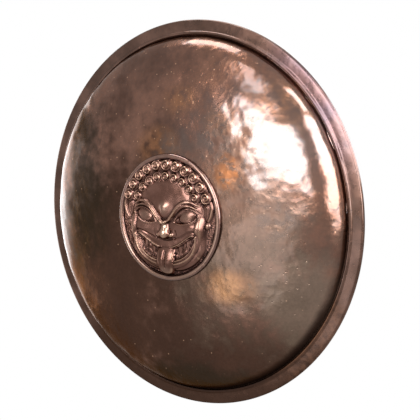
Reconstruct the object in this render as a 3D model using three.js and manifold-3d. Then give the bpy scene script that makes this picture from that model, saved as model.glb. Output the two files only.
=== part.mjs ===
// Hoplite aspis: a domed round shield. Glued poplar boards form the bowl, a bronze sheet faces it,
// a bronze band wraps the flat rim, and a round bronze gorgoneion is pinned to the middle of the face.
// Inside are the leather lining, the arm band, the hinged hand grip and the rings for the edge cord.
// Millimetres, +Z up, the face looks towards -Y. The origin is on the forearm's axis in the arm band.
import * as THREE from 'three';
import { mergeVertices } from 'three/addons/utils/BufferGeometryUtils.js';
import Module from 'manifold-3d';

const wasm = await Module();
wasm.setup();

// The whole shield
const SHIELD_RADIUS = 450;
const RIM_WIDTH = 38;
const RIM_THICKNESS = 10;
const DOME_RISE = 100;
const DOME_ROUND_POWER = 2.5;
const DOME_WALL_POWER = 2.2;
const GAP = 0.3;
const OVERRUN = 60;

// Wooden core
const BOARD_COUNT = 5;
const CORE_MIDDLE = 7;
const CORE_WALL = 10;
const CORE_THICKENING_POWER = 4;

// Bronze face and rim band
const SHEET = 0.8;
const FLANGE_WIDTH = 8.5;
const LIP_GROOVE = 3.5;
const LIP_WIDTH = 7;
const LIP_STEP = 2;
const RIM_EDGE_ROUND = 3.5;
const RIM_HEM = 27;

// Leather lining
const LINING = 1.5;

// Emblem
const EMBLEM_RADIUS = 146;
const EMBLEM_FIELD = 2.4;
const EMBLEM_BORDER_RISE = 5.5;
const EMBLEM_BORDER_WIDTH = 10;
const EMBLEM_RELIEF = 13;
const EMBLEM_WALL = 3.5;
const CURL_RADIUS = 11.5;
const CURL_RISE = 7;
const EMBLEM_PIN_RADIUS = 2.5;
const EMBLEM_PIN_DEPTH = 6;
const EMBLEM_PIN_COUNT = 4;
const EMBLEM_PIN_SHARE = 3 / 4;
const TOOTH_COUNT = 12;

// Arm band and its leather sleeve
const ARM_ROOM_HALF_WIDTH = 52;
const ARM_ROOM_DEPTH = 84;
const BAND_WIDTH = 76;
const BAND_SHEET = 2;
const BAND_BEAD = 2.4;
const BAND_TAPER_SHARE = 0.1;
const BAND_BEND = 8;
const WING_LENGTH = 112;
const WING_TIP_WIDTH = 46;
const SLEEVE = 2.5;
const SLEEVE_OVERHANG = 5;
const SLEEVE_FOOT_GAP = 4;

// Nails of the arm band
const NAIL_HEAD_RADIUS = 5;
const NAIL_HEAD_RISE = 3;
const NAIL_SHANK_RADIUS = 1.8;
const NAIL_BITE = 5;
const NAIL_PLACES_SHARES = [[0.3, 0.24], [0.2, 0.74]];

// Ring fittings on the bowl's wall
const RING_ANGLES_DEG = [90, 150, 210, 270, 330, 30];
const RING_DEPTH = 24;
const RING_RADIUS = 13;
const RING_WIRE = 2;
const RING_PLATE_RADIUS = 13;
const RING_EYE_HALF_WIDTH = 5;
const RING_EYE_RISE = 12;
const RING_EYE_WIRE = 1.5;
const PLATE_RISE = 2.2;
const PLATE_BOSS_RISE = 2;
const LEG_BITE = 5;

// Hand grip
const GRIP_DEPTH = 26;
const GRIP_EYE_SPACING = 132;
const GRIP_PLATE_RADIUS = 17;
const GRIP_EYE_HALF_WIDTH = 7;
const GRIP_EYE_RISE = 17;
const GRIP_EYE_WIRE = 2.2;
const GRIP_ROD = 3;
const GRIP_REACH = 44;
const GRIP_CORNER = 12;
const GRIP_PIN_KNOB = 5.2;
const GRIP_LENGTH = 84;
const GRIP_RADIUS = 11;
const GRIP_SWELL = 2.5;

// Facets
const TURNS = 36;
const DOME_STEPS = 7;
const DOME_STATION_POWER = 0.8;
const ROUND_SIDES = 10;
const WIRE_SIDES = 6;
const RIDGE_SIDES = 6;
const CROWN_STEPS = 8;
const CURL_SIDES = 6;
const BORE_SIDES = 4;
const NAIL_SIDES = 8;
const LUMP_SIDES = 10;
const LUMP_RINGS = 7;
const WELD = 1e-4;

const QUARTER = Math.PI / 2;
const SEG = (2 * Math.PI) / TURNS;
const DOME_RADIUS = SHIELD_RADIUS - RIM_WIDTH;
const CORE_OFFSET = SHEET + GAP;
const LINING_OFFSET = CORE_OFFSET + CORE_MIDDLE + GAP;
const FLOOR_OFFSET = LINING_OFFSET + LINING;
const ARM_AXIS_DEPTH = DOME_RISE - FLOOR_OFFSET - ARM_ROOM_DEPTH / 2;

// Depths are measured forward from the rim's front face, and become Y here.
const atDepth = (depth) => ARM_AXIS_DEPTH - depth;
const CORE_BACK = atDepth(-(RIM_THICKNESS - SHEET - GAP));
const FRONT = new THREE.Vector3(0, -1, 0);

const bronze = new THREE.MeshStandardMaterial({ color: 0x6d4a3a, roughness: 0.35, metalness: 1 });
const emblemBronze = new THREE.MeshStandardMaterial({ color: 0x70493c, roughness: 0.32, metalness: 1 });
const fittingBronze = new THREE.MeshStandardMaterial({ color: 0x8a6238, roughness: 0.4, metalness: 1 });
const poplar = new THREE.MeshStandardMaterial({ color: 0xb08a5c, roughness: 0.7, metalness: 0 });
const leather = new THREE.MeshStandardMaterial({ color: 0x6b3f26, roughness: 0.65, metalness: 0 });

// A closed geometry as a solid, with its faces turned outwards.
function solid(geometry, matrix) {
  const bare = geometry.clone();
  bare.deleteAttribute('normal');
  bare.deleteAttribute('uv');
  const merged = mergeVertices(bare, WELD);
  const place = merged.attributes.position;
  const corners = [];
  let volume = 0;
  const [a, b, c] = [new THREE.Vector3(), new THREE.Vector3(), new THREE.Vector3()];
  for (let i = 0; i < merged.index.count; i += 3) {
    const three = [merged.index.getX(i), merged.index.getX(i + 1), merged.index.getX(i + 2)];
    if (new Set(three).size < 3) continue;
    corners.push(three);
    a.fromBufferAttribute(place, three[0]);
    b.fromBufferAttribute(place, three[1]);
    c.fromBufferAttribute(place, three[2]);
    volume += a.dot(b.cross(c));
  }
  if (volume < 0) corners.forEach((three) => three.reverse());
  const body = new wasm.Manifold(new wasm.Mesh({
    numProp: 3,
    vertProperties: new Float32Array(place.array),
    triVerts: new Uint32Array(corners.flat()),
  }));
  return matrix ? body.transform(matrix.elements) : body;
}

// A solid as a named mesh.
function piece(name, body, material) {
  const mesh = body.getMesh();
  const geometry = new THREE.BufferGeometry();
  geometry.setAttribute('position', new THREE.Float32BufferAttribute(mesh.vertProperties, 3));
  geometry.setIndex(new THREE.Uint32BufferAttribute(mesh.triVerts, 1));
  geometry.computeVertexNormals();
  const made = new THREE.Mesh(geometry, material);
  made.name = name;
  return made;
}

// A profile of [radius, y] pairs turned about the shield's axis, with a facet's middle at each fitting.
function revolve(profile, turns = TURNS, phase = SEG / 2) {
  const points = profile.map(([radius, y]) => new THREE.Vector2(radius, y));
  return solid(new THREE.LatheGeometry([...points, points[0]], turns, phase));
}

// A box between two corners.
function block(low, high) {
  const size = high.clone().sub(low);
  const middle = low.clone().add(high).multiplyScalar(1 / 2);
  return solid(new THREE.BoxGeometry(size.x, size.y, size.z).translate(middle.x, middle.y, middle.z));
}

// A round rod along local Z, from one height to another.
function rod(radius, from, to, matrix = undefined, sides = BORE_SIDES) {
  const shape = new THREE.CylinderGeometry(radius, radius, to - from, sides);
  return solid(shape.rotateX(QUARTER).translate(0, 0, (from + to) / 2), matrix);
}

// A closed body of rings of points, each ring with as many points, capped at both ends.
function ringBody(rings) {
  const count = rings[0].length;
  const position = rings.flat().flatMap((p) => [p.x, p.y, p.z]);
  const index = [];
  for (let i = 0; i + 1 < rings.length; i++) {
    for (let j = 0; j < count; j++) {
      const [p, q] = [i * count + j, i * count + ((j + 1) % count)];
      index.push(p, q, q + count, p, q + count, p + count);
    }
  }
  return { position, index, count };
}

// A flat section carried along a path that bends in one plane. Section points are [side, along up].
function sweep(path, up, sectionAt) {
  const rings = path.map((point, i) => {
    const [before, after] = [path[Math.max(i - 1, 0)], path[Math.min(i + 1, path.length - 1)]];
    const tangent = after.clone().sub(before).normalize();
    const side = up.clone().cross(tangent).normalize();
    const share = i / (path.length - 1);
    const place = ([s, u]) => point.clone().addScaledVector(side, s).addScaledVector(up, u);
    return sectionAt(share).map(place);
  });
  const { position, index, count } = ringBody(rings);
  const flat = sectionAt(0).map(([s, u]) => new THREE.Vector2(s, u));
  const last = (rings.length - 1) * count;
  for (const [p, q, r] of THREE.ShapeUtils.triangulateShape(flat, [])) {
    const turn = THREE.ShapeUtils.isClockWise(flat) ? [p, q, r] : [r, q, p];
    index.push(turn[0], turn[1], turn[2], last + turn[2], last + turn[1], last + turn[0]);
  }
  const geometry = new THREE.BufferGeometry();
  geometry.setAttribute('position', new THREE.Float32BufferAttribute(position, 3));
  geometry.setIndex(index);
  return solid(geometry);
}

// An oval section of a given half width and half height.
function oval(halfWidth, halfHeight, sides = RIDGE_SIDES) {
  return Array.from({ length: sides }, (_, i) => {
    const turn = ((i + 1 / 2) * 2 * Math.PI) / sides;
    return [halfWidth * Math.cos(turn), halfHeight * Math.sin(turn)];
  });
}

// Corner points joined by straight runs, with each inner corner rounded.
function roundedPath(corners, radius, steps = 2) {
  const path = [corners[0]];
  for (let i = 1; i + 1 < corners.length; i++) {
    const before = corners[i - 1].clone().sub(corners[i]).setLength(radius).add(corners[i]);
    const after = corners[i + 1].clone().sub(corners[i]).setLength(radius).add(corners[i]);
    path.push(...new THREE.QuadraticBezierCurve3(before, corners[i], after).getPoints(steps));
  }
  path.push(corners[corners.length - 1]);
  return path;
}

// The dome's outer line: a superellipse from the apex to the wall's foot, with its outward normals.
const domeLine = Array.from({ length: DOME_STEPS + 1 }, (_, i) => {
  const turn = QUARTER * (i / DOME_STEPS) ** DOME_STATION_POWER;
  const radius = DOME_RADIUS * Math.sin(turn) ** (2 / DOME_ROUND_POWER);
  const depth = i === DOME_STEPS ? 0 : DOME_RISE * Math.cos(turn) ** (2 / DOME_WALL_POWER);
  const outward = DOME_ROUND_POWER * (radius / DOME_RADIUS) ** (DOME_ROUND_POWER - 1) / DOME_RADIUS;
  const forward = DOME_WALL_POWER * (depth / DOME_RISE) ** (DOME_WALL_POWER - 1) / DOME_RISE;
  const length = Math.hypot(outward, forward);
  return { radius, depth, outward: outward / length, forward: forward / length };
});

// The wood is thicker at the wall than in the middle.
function coreThickening(radius) {
  return (CORE_WALL - CORE_MIDDLE) * (radius / DOME_RADIUS) ** CORE_THICKENING_POWER;
}

// The dome's line moved inwards by an offset, as [radius, y] pairs from the axis to the foot.
function lineAt(offset, withThickening = false) {
  return domeLine.map(({ radius, depth, outward, forward }) => {
    const inset = offset + (withThickening ? coreThickening(radius) : 0);
    return [Math.max(0, radius - outward * inset), atDepth(depth - forward * inset)];
  });
}

const coreInner = lineAt(CORE_OFFSET + CORE_MIDDLE, true);
const liningOuter = lineAt(LINING_OFFSET, true);
const liningInner = lineAt(FLOOR_OFFSET, true);
const foot = (line) => line[line.length - 1][0];

// The air inside the bowl, kept clear of the lining by an offset.
function room(clearance) {
  const line = lineAt(FLOOR_OFFSET + clearance, true);
  return revolve([...line, [foot(line), CORE_BACK + OVERRUN], [0, CORE_BACK + OVERRUN]]);
}

// Everything behind the dome's outer face, grown by a clearance.
function domeBlock(clearance) {
  const line = lineAt(-clearance);
  return revolve([...line, [foot(line), CORE_BACK], [0, CORE_BACK]]);
}

// Where a fitting sits on the lining at an angle round the shield and a radius or a depth.
// Local X is round the shield, local Y along the wall to the rim, local Z out of the wall into the bowl.
function wallFrame(angle, target, byDepth = true) {
  const value = ([radius, y]) => (byDepth ? y - atDepth(target) : radius - target);
  let i = 1;
  while (i + 1 < liningInner.length && value(liningInner[i]) < 0) i++;
  const [near, far] = [liningInner[i - 1], liningInner[i]];
  const share = value(near) / (value(near) - value(far));
  const radius = (near[0] + (far[0] - near[0]) * share) * Math.cos(SEG / 2);
  const y = near[1] + (far[1] - near[1]) * share;
  const away = new THREE.Vector3(Math.cos(angle), 0, Math.sin(angle));
  const round = new THREE.Vector3(-Math.sin(angle), 0, Math.cos(angle));
  const along = away.clone().multiplyScalar(far[0] - near[0]).add(new THREE.Vector3(0, far[1] - near[1], 0));
  along.normalize();
  const out = round.clone().cross(along);
  const matrix = new THREE.Matrix4().makeBasis(round, along, out);
  return matrix.setPosition(away.multiplyScalar(radius).setY(y));
}

const inverse = (matrix) => matrix.clone().invert().elements;
const shield = new THREE.Group();
const cuts = [];

// The bore of a shank or leg, which the wood, the lining and the plate on them are cut with.
const boreRadius = (radius) => (radius + GAP) / Math.cos(Math.PI / BORE_SIDES);
function boreFor(radius, bite, top, matrix) {
  const bore = rod(boreRadius(radius), -(bite + LINING + GAP + GAP), top, matrix);
  cuts.push(bore);
  return bore;
}

// A round base plate with a raised boss, cut to the bowl's curve where it lies on the lining.
function basePlate(name, radius, matrix, bores) {
  const boss = radius / 2;
  const top = PLATE_RISE + PLATE_BOSS_RISE;
  const profile = [[0, -radius], [radius, -radius], [radius, PLATE_RISE / 2],
    [boss + PLATE_BOSS_RISE, PLATE_RISE], [boss, top], [0, top]];
  const points = profile.map(([r, y]) => new THREE.Vector2(r, y));
  const turned = new THREE.LatheGeometry([...points, points[0]], ROUND_SIDES).rotateX(QUARTER);
  let body = solid(turned, matrix).intersect(room(GAP));
  for (const bore of bores) body = body.subtract(bore);
  return piece(name, body.transform(inverse(matrix)), fittingBronze);
}

// A wire staple: two legs driven into the wood and a round bow that stands off the plate.
function staple(name, halfWidth, rise, wire, legAxis) {
  const end = -(LEG_BITE + LINING + GAP);
  const corner = (side, height) => legAxis.clone().multiplyScalar(side).setZ(height);
  const corners = [[-halfWidth, end], [-halfWidth, rise], [halfWidth, rise], [halfWidth, end]];
  const path = roundedPath(corners.map(([side, height]) => corner(side, height)), halfWidth);
  const up = legAxis.clone().cross(new THREE.Vector3(0, 0, 1));
  return piece(name, sweep(path, up, () => oval(wire, wire, WIRE_SIDES)), fittingBronze);
}

// The two bores of a staple's legs.
function legBores(halfWidth, wire, legAxis, matrix) {
  return [-1, 1].map((side) => {
    const shift = new THREE.Matrix4().setPosition(legAxis.clone().multiplyScalar(side * halfWidth));
    return boreFor(wire, LEG_BITE, halfWidth, matrix.clone().multiply(shift));
  });
}

// Rings for the edge cord: plate, staple and a loose ring at each station round the wall.
const ringHinge = RING_EYE_RISE - RING_EYE_WIRE - RING_WIRE - GAP;
const ringReach = RING_RADIUS + RING_RADIUS + RING_WIRE;
const wallRise = ringReach ** 2 / foot(liningInner);
const ringSwing = Math.acos((RING_WIRE + GAP + wallRise - ringHinge) / ringReach);
for (const [i, degrees] of RING_ANGLES_DEG.entries()) {
  const matrix = wallFrame(THREE.MathUtils.degToRad(degrees), RING_DEPTH);
  const fitting = new THREE.Group();
  fitting.applyMatrix4(matrix);
  const legAxis = new THREE.Vector3(1, 0, 0);
  const bores = legBores(RING_EYE_HALF_WIDTH, RING_EYE_WIRE, legAxis, matrix);
  fitting.add(basePlate(`ring_plate_${i + 1}`, RING_PLATE_RADIUS, matrix, bores));
  fitting.add(staple(`ring_staple_${i + 1}`, RING_EYE_HALF_WIDTH, RING_EYE_RISE, RING_EYE_WIRE, legAxis));
  const down = new THREE.Vector3(0, 0, -1).transformDirection(matrix.clone().invert());
  const hang = Math.atan2(down.x, down.z);
  const pivot = new THREE.Group();
  pivot.name = `ring_pivot_${i + 1}`;
  pivot.position.set(0, 0, ringHinge);
  pivot.rotation.y = THREE.MathUtils.clamp(hang, -ringSwing, ringSwing);
  pivot.userData = { hang, swing: ringSwing };
  const loop = new THREE.TorusGeometry(RING_RADIUS, RING_WIRE, WIRE_SIDES, ROUND_SIDES);
  const ring = piece(`ring_${i + 1}`, solid(loop.rotateY(QUARTER)), fittingBronze);
  ring.position.set(0, 0, RING_RADIUS);
  pivot.add(ring);
  fitting.add(pivot);
  shield.add(fitting);
}

// Hand grip at the bearer's right: two plates and staples, and a bail whose pins turn in them.
// The eyes stand level with each other, so that the pins share one upright line.
const gripMiddle = wallFrame(Math.PI, GRIP_DEPTH);
const gripNormal = new THREE.Vector3().setFromMatrixColumn(gripMiddle, 2);
const gripRound = new THREE.Vector3(0, 0, 1);
const gripAlong = gripNormal.clone().cross(gripRound);
const gripHingeRise = GRIP_EYE_RISE - GRIP_EYE_WIRE - GRIP_ROD - GAP;
const gripOut = new THREE.Vector3().setFromMatrixPosition(gripMiddle).length();
const gripTurn = Math.asin(GRIP_EYE_SPACING / 2 / gripOut);
const gripWall = new THREE.Vector3();
for (const [word, side] of [['upper', 1], ['lower', -1]]) {
  const plateMatrix = wallFrame(Math.PI - side * gripTurn, GRIP_DEPTH);
  gripWall.setFromMatrixPosition(plateMatrix).setZ(0);
  const matrix = new THREE.Matrix4().makeBasis(gripRound, gripAlong, gripNormal);
  matrix.setPosition(gripWall.clone().setZ((side * GRIP_EYE_SPACING) / 2));
  const legAxis = new THREE.Vector3(0, 1, 0);
  const bores = legBores(GRIP_EYE_HALF_WIDTH, GRIP_EYE_WIRE, legAxis, matrix);
  const plate = basePlate(`grip_plate_${word}`, GRIP_PLATE_RADIUS, plateMatrix, bores);
  plate.applyMatrix4(plateMatrix);
  const eye = staple(`grip_staple_${word}`, GRIP_EYE_HALF_WIDTH, GRIP_EYE_RISE, GRIP_EYE_WIRE, legAxis);
  eye.applyMatrix4(matrix);
  shield.add(plate, eye);
}
const gripPivot = new THREE.Group();
gripPivot.name = 'grip_pivot';
gripPivot.position.copy(gripWall).addScaledVector(gripNormal, gripHingeRise);
const pinEnd = (GRIP_EYE_SPACING + GRIP_EYE_WIRE + GRIP_PIN_KNOB) / 2 + GRIP_EYE_WIRE + GRIP_ROD;
const legPlace = GRIP_EYE_SPACING / 2 - GRIP_EYE_WIRE - GRIP_ROD - GRIP_CORNER / 2;
const bailCorners = [[0, pinEnd], [0, legPlace], [GRIP_REACH, legPlace], [GRIP_REACH, -legPlace],
  [0, -legPlace], [0, -pinEnd]].map(([x, z]) => new THREE.Vector3(x, 0, z));
const bailPath = roundedPath(bailCorners, GRIP_CORNER / 2);
let bail = sweep(bailPath, new THREE.Vector3(0, 1, 0), () => oval(GRIP_ROD, GRIP_ROD, WIRE_SIDES));
for (const side of [-1, 1]) {
  const knob = new THREE.SphereGeometry(GRIP_PIN_KNOB, NAIL_SIDES, WIRE_SIDES).rotateX(QUARTER);
  bail = bail.add(solid(knob.translate(0, 0, side * pinEnd)));
}
gripPivot.add(piece('grip_bail', bail, fittingBronze));
const wrapInner = GRIP_ROD + GAP;
const wrapProfile = [[wrapInner, -GRIP_LENGTH / 2], [GRIP_RADIUS - GRIP_SWELL, -GRIP_LENGTH / 2],
  [GRIP_RADIUS, -GRIP_LENGTH / 2 + GRIP_SWELL], [GRIP_RADIUS + GRIP_SWELL / 2, -GRIP_LENGTH / 4],
  [GRIP_RADIUS + GRIP_SWELL, 0], [GRIP_RADIUS + GRIP_SWELL / 2, GRIP_LENGTH / 4],
  [GRIP_RADIUS, GRIP_LENGTH / 2 - GRIP_SWELL], [GRIP_RADIUS - GRIP_SWELL, GRIP_LENGTH / 2],
  [wrapInner, GRIP_LENGTH / 2]].map(([r, y]) => new THREE.Vector2(r, y));
const wrapShape = new THREE.LatheGeometry([...wrapProfile, wrapProfile[0]], ROUND_SIDES).rotateX(QUARTER);
const wrap = piece('grip_wrap', solid(wrapShape), leather);
wrap.position.set(GRIP_REACH, 0, 0);
gripPivot.add(wrap);
shield.add(gripPivot);

// Arm band: a conical bronze arch over the forearm that ends in two wings on the bowl's floor.
const floorY = atDepth(DOME_RISE - FLOOR_OFFSET);
const across = new THREE.Vector3(1, 0, 0);
function archPath(halfWidth, footReach, footY) {
  const top = floorY + ARM_ROOM_DEPTH - (ARM_ROOM_HALF_WIDTH - halfWidth);
  const spring = top - halfWidth;
  const leg = [];
  const place = ([out, y]) => new THREE.Vector3(0, y, halfWidth + out);
  if (footReach > 0) {
    leg.push(...roundedPath([[footReach, footY], [0, footY], [0, spring]].map(place), BAND_BEND));
  } else {
    leg.push(place([0, footY]), place([0, spring]));
  }
  const crown = Array.from({ length: CROWN_STEPS - 1 }, (_, i) => {
    const turn = ((i + 1) * Math.PI) / CROWN_STEPS;
    return new THREE.Vector3(0, spring + halfWidth * Math.sin(turn), halfWidth * Math.cos(turn));
  });
  const farLeg = leg.map((p) => new THREE.Vector3(0, p.y, -p.z)).reverse();
  return [...leg, ...crown, ...farLeg];
}
// The arm is thicker towards the elbow, at +X, so the arch opens that way.
const cone = (geometry) => geometry.warp((v) => {
  const grow = 1 + (BAND_TAPER_SHARE * v[0]) / BAND_WIDTH;
  v[1] = floorY + (v[1] - floorY) * grow;
  v[2] *= grow;
});
const halfBand = BAND_WIDTH / 2;
const half = BAND_SHEET / 2;
const bandSection = [[-half, halfBand], [BAND_BEAD, halfBand], [half, halfBand - 2 * BAND_BEAD],
  [half, -halfBand + 2 * BAND_BEAD], [BAND_BEAD, -halfBand], [-half, -halfBand]];
const bandHalf = ARM_ROOM_HALF_WIDTH + half;
const archCentre = archPath(bandHalf, BAND_BEND + BAND_BEND, floorY + GAP + half);
const arch = cone(sweep(archCentre, across, () => bandSection)).intersect(room(GAP));
const wingStart = ARM_ROOM_HALF_WIDTH + BAND_SHEET + BAND_BEND / 2;
function wing(side) {
  const tip = wingStart + WING_LENGTH;
  const shape = new THREE.Shape();
  const tipHalf = WING_TIP_WIDTH / 2;
  shape.moveTo(-halfBand, side * wingStart);
  shape.lineTo(halfBand, side * wingStart);
  shape.quadraticCurveTo(tipHalf, side * (wingStart + WING_LENGTH / 4), tipHalf, side * (tip - tipHalf));
  shape.absarc(0, side * (tip - tipHalf), tipHalf, 0, side * Math.PI, side < 0);
  shape.quadraticCurveTo(-tipHalf, side * (wingStart + WING_LENGTH / 4), -halfBand, side * wingStart);
  const slabSettings = { depth: ARM_ROOM_DEPTH, bevelEnabled: false, curveSegments: 5 };
  const slab = new THREE.ExtrudeGeometry(shape, slabSettings);
  const layer = room(GAP).subtract(room(GAP + BAND_SHEET));
  return solid(slab.rotateX(QUARTER).translate(0, floorY + ARM_ROOM_DEPTH * 3 / 4, 0)).intersect(layer);
}
let band = arch.add(wing(1)).add(wing(-1));
const nails = [];
for (const side of [1, -1]) {
  for (const [acrossShare, alongShare] of NAIL_PLACES_SHARES) {
    for (const hand of [-1, 1]) {
      const x = hand * acrossShare * BAND_WIDTH;
      const z = side * (wingStart + alongShare * WING_LENGTH);
      const matrix = wallFrame(Math.atan2(z, x), Math.hypot(x, z), false);
      band = band.subtract(boreFor(NAIL_SHANK_RADIUS, NAIL_BITE, OVERRUN / 4, matrix));
      nails.push(matrix);
    }
  }
}
shield.add(piece('arm_band', band, fittingBronze));
nails.forEach((matrix, i) => {
  const rise = GAP + BAND_SHEET + GAP;
  const profile = [[0, 0], [NAIL_HEAD_RADIUS, 0], [NAIL_HEAD_RADIUS, rise + NAIL_HEAD_RISE / 4],
    [NAIL_HEAD_RADIUS * 3 / 4, rise + NAIL_HEAD_RISE * 3 / 4], [0, rise + NAIL_HEAD_RISE]];
  const points = profile.map(([r, y]) => new THREE.Vector2(r, y));
  const head = solid(new THREE.LatheGeometry([...points, points[0]], NAIL_SIDES).rotateX(QUARTER));
  const shank = rod(NAIL_SHANK_RADIUS, -(NAIL_BITE + LINING + GAP), rise + NAIL_HEAD_RISE / 3);
  const seated = head.intersect(room(rise).transform(inverse(matrix)));
  const nail = piece(`arm_band_nail_${i + 1}`, seated.add(shank), fittingBronze);
  nail.applyMatrix4(matrix);
  shield.add(nail);
});
const sleeveHalf = ARM_ROOM_HALF_WIDTH - GAP - SLEEVE / 2;
const sleeveWidth = halfBand + SLEEVE_OVERHANG;
const sleeveSection = [[-SLEEVE / 2, sleeveWidth], [SLEEVE / 2, sleeveWidth], [SLEEVE / 2, -sleeveWidth],
  [-SLEEVE / 2, -sleeveWidth]];
const sleevePath = archPath(sleeveHalf, 0, floorY + SLEEVE_FOOT_GAP);
shield.add(piece('arm_band_sleeve', cone(sweep(sleevePath, across, () => sleeveSection)), leather));

// Emblem: a dished plate with a bead round its edge, and the gorgoneion's features in relief on it.
// Places are shares of its radius across and up, and lifts are shares of its relief above the border.
const domeDepth = (radius) => {
  const rest = 1 - (radius / DOME_RADIUS) ** DOME_ROUND_POWER;
  return DOME_RISE * rest ** (1 / DOME_WALL_POWER);
};
const borderTop = domeDepth(EMBLEM_RADIUS) + EMBLEM_BORDER_RISE;
const onEmblem = ([x, z, lift]) => {
  const y = atDepth(borderTop + lift * EMBLEM_RELIEF);
  return new THREE.Vector3(x * EMBLEM_RADIUS, y, z * EMBLEM_RADIUS);
};

// A tapering ridge through given places, widest and highest in its middle.
const SWELL_END_SHARE = 0.08;
function ridge(placeShares, [widthShare, heightShare], steps, mirrored = false) {
  const points = placeShares.map(([x, z, lift]) => onEmblem([mirrored ? -x : x, z, lift]));
  const path = new THREE.CatmullRomCurve3(points).getPoints(steps);
  return sweep(path, FRONT, (share) => {
    const along = SWELL_END_SHARE + (1 - 2 * SWELL_END_SHARE) * share;
    const swell = Math.sqrt(Math.sin(Math.PI * along));
    return oval(widthShare * EMBLEM_RADIUS * swell, heightShare * EMBLEM_RELIEF * swell);
  });
}

// A rounded lump, such as a cheek or an eyeball, made thinner by a wall where it is a hollow.
function lump({ place, radii, turn = 0 }, hand = 1, wall = 0) {
  const [x, z, lift] = radii;
  const ball = new THREE.SphereGeometry(1, LUMP_SIDES, LUMP_RINGS).rotateX(QUARTER);
  ball.scale(x * EMBLEM_RADIUS - wall, lift * EMBLEM_RELIEF - wall, z * EMBLEM_RADIUS - wall);
  const at = onEmblem([hand * place[0], place[1], place[2]]);
  return solid(ball.rotateY(-hand * turn).translate(at.x, at.y, at.z));
}

const bead = EMBLEM_BORDER_WIDTH / 2;
const fieldEdge = EMBLEM_RADIUS - EMBLEM_BORDER_WIDTH;
const borderFoot = borderTop - EMBLEM_BORDER_RISE - EMBLEM_BORDER_WIDTH;
const plateProfile = [[0, DOME_RISE + EMBLEM_FIELD], [fieldEdge, domeDepth(fieldEdge) + EMBLEM_FIELD],
  [EMBLEM_RADIUS - EMBLEM_BORDER_WIDTH * 3 / 4, borderTop - bead / 4],
  [EMBLEM_RADIUS - EMBLEM_BORDER_WIDTH / 3, borderTop],
  [EMBLEM_RADIUS, borderTop - bead / 2], [EMBLEM_RADIUS, borderFoot], [0, borderFoot]];
let emblem = revolve(plateProfile.map(([radius, depth]) => [radius, atDepth(depth)]));

const faceShares = { place: [0, -0.08, -1.6], radii: [0.76, 0.78, 2.2] };
const foreheadShares = { place: [0, 0.12, -0.6], radii: [0.4, 0.34, 1.35] };
const pairedLumpShares = [
  { place: [0.42, -0.16, -0.3], radii: [0.26, 0.16, 1.15] },
  { place: [0.42, 0.05, -0.25], radii: [0.17, 0.075, 0.95], turn: 0.3 },
  { place: [0.09, -0.25, 0.55], radii: [0.07, 0.06, 0.5] },
  { place: [0.79, -0.12, -0.6], radii: [0.055, 0.06, 0.6] },
];
const browShares = [[0, -0.04, 0.9], [0.14, 0.03, 0.9], [0.26, 0.18, 0.75], [0.4, 0.26, 0.5], [0.6, 0.2, 0]];
const lidShares = [[0.2, -0.06, 0.3], [0.3, 0.09, 0.5], [0.44, 0.15, 0.4], [0.6, 0.08, 0]];
const jawShares = [[0.7, 0, -0.5], [0.73, -0.2, -0.5], [0.68, -0.42, -0.5], [0.5, -0.64, -0.5],
  [0.28, -0.77, -0.5], [0, -0.8, -0.5]];
const earShares = [[0.72, 0.28, -0.6], [0.84, 0.32, -0.4], [0.9, 0.16, -0.4], [0.86, -0.02, -0.5],
  [0.78, -0.1, -0.6]];
const noseShares = [[0, 0.02, 0.7], [0, -0.12, 1.05], [0, -0.22, 1.35], [0, -0.3, 1.1]];
const [browWidthShares, lidWidthShares, jawWidthShares] = [[0.045, 0.45], [0.025, 0.3], [0.07, 0.75]];
const [earWidthShares, noseWidthShares] = [[0.045, 0.55], [0.085, 0.5]];
emblem = emblem.add(lump(faceShares)).add(lump(foreheadShares));
for (const mirrored of [false, true]) {
  for (const shares of pairedLumpShares) emblem = emblem.add(lump(shares, mirrored ? -1 : 1));
  emblem = emblem.add(ridge(browShares, browWidthShares, 8, mirrored));
  emblem = emblem.add(ridge(lidShares, lidWidthShares, 6, mirrored));
  emblem = emblem.add(ridge(jawShares, jawWidthShares, 8, mirrored));
  emblem = emblem.add(ridge(earShares, earWidthShares, 7, mirrored));
}
emblem = emblem.add(ridge(noseShares, noseWidthShares, 5));

// The mouth is cut as a wide crescent, then lips, teeth and tongue are set in it.
const upperLipShares = [[-0.58, -0.27], [-0.4, -0.38], [-0.2, -0.45], [0, -0.47], [0.2, -0.45],
  [0.4, -0.38], [0.58, -0.27]];
const lowerLipShares = [[0.58, -0.4], [0.46, -0.56], [0.25, -0.65], [0, -0.68], [-0.25, -0.65],
  [-0.46, -0.56], [-0.58, -0.4]];
const MOUTH_FLOOR_SHARE = 0.1;
const flatOnEmblem = ([x, z]) => new THREE.Vector2(x * EMBLEM_RADIUS, z * EMBLEM_RADIUS);
const mouthShape = new THREE.Shape([...upperLipShares, ...lowerLipShares].map(flatOnEmblem));
const mouthSettings = { depth: OVERRUN, bevelEnabled: false };
const mouthCut = new THREE.ExtrudeGeometry(mouthShape, mouthSettings).rotateX(QUARTER);
const mouthFloor = atDepth(borderTop - MOUTH_FLOOR_SHARE * EMBLEM_RELIEF);
emblem = emblem.subtract(solid(mouthCut.clone().translate(0, mouthFloor, 0)));

// The emblem is beaten from sheet, so it is hollow behind the face, but not behind the mouth.
const mouthHalf = EMBLEM_RADIUS / 2;
const wider = 1 + EMBLEM_WALL / mouthHalf;
const behindMouth = new THREE.Matrix4().makeScale(wider, 1, wider);
const mouthWall = solid(mouthCut.applyMatrix4(behindMouth).translate(0, mouthFloor + OVERRUN / 2, 0));
const hollow = lump(faceShares, 1, EMBLEM_WALL).add(lump(foreheadShares, 1, EMBLEM_WALL));
emblem = emblem.subtract(hollow.subtract(mouthWall));

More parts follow.
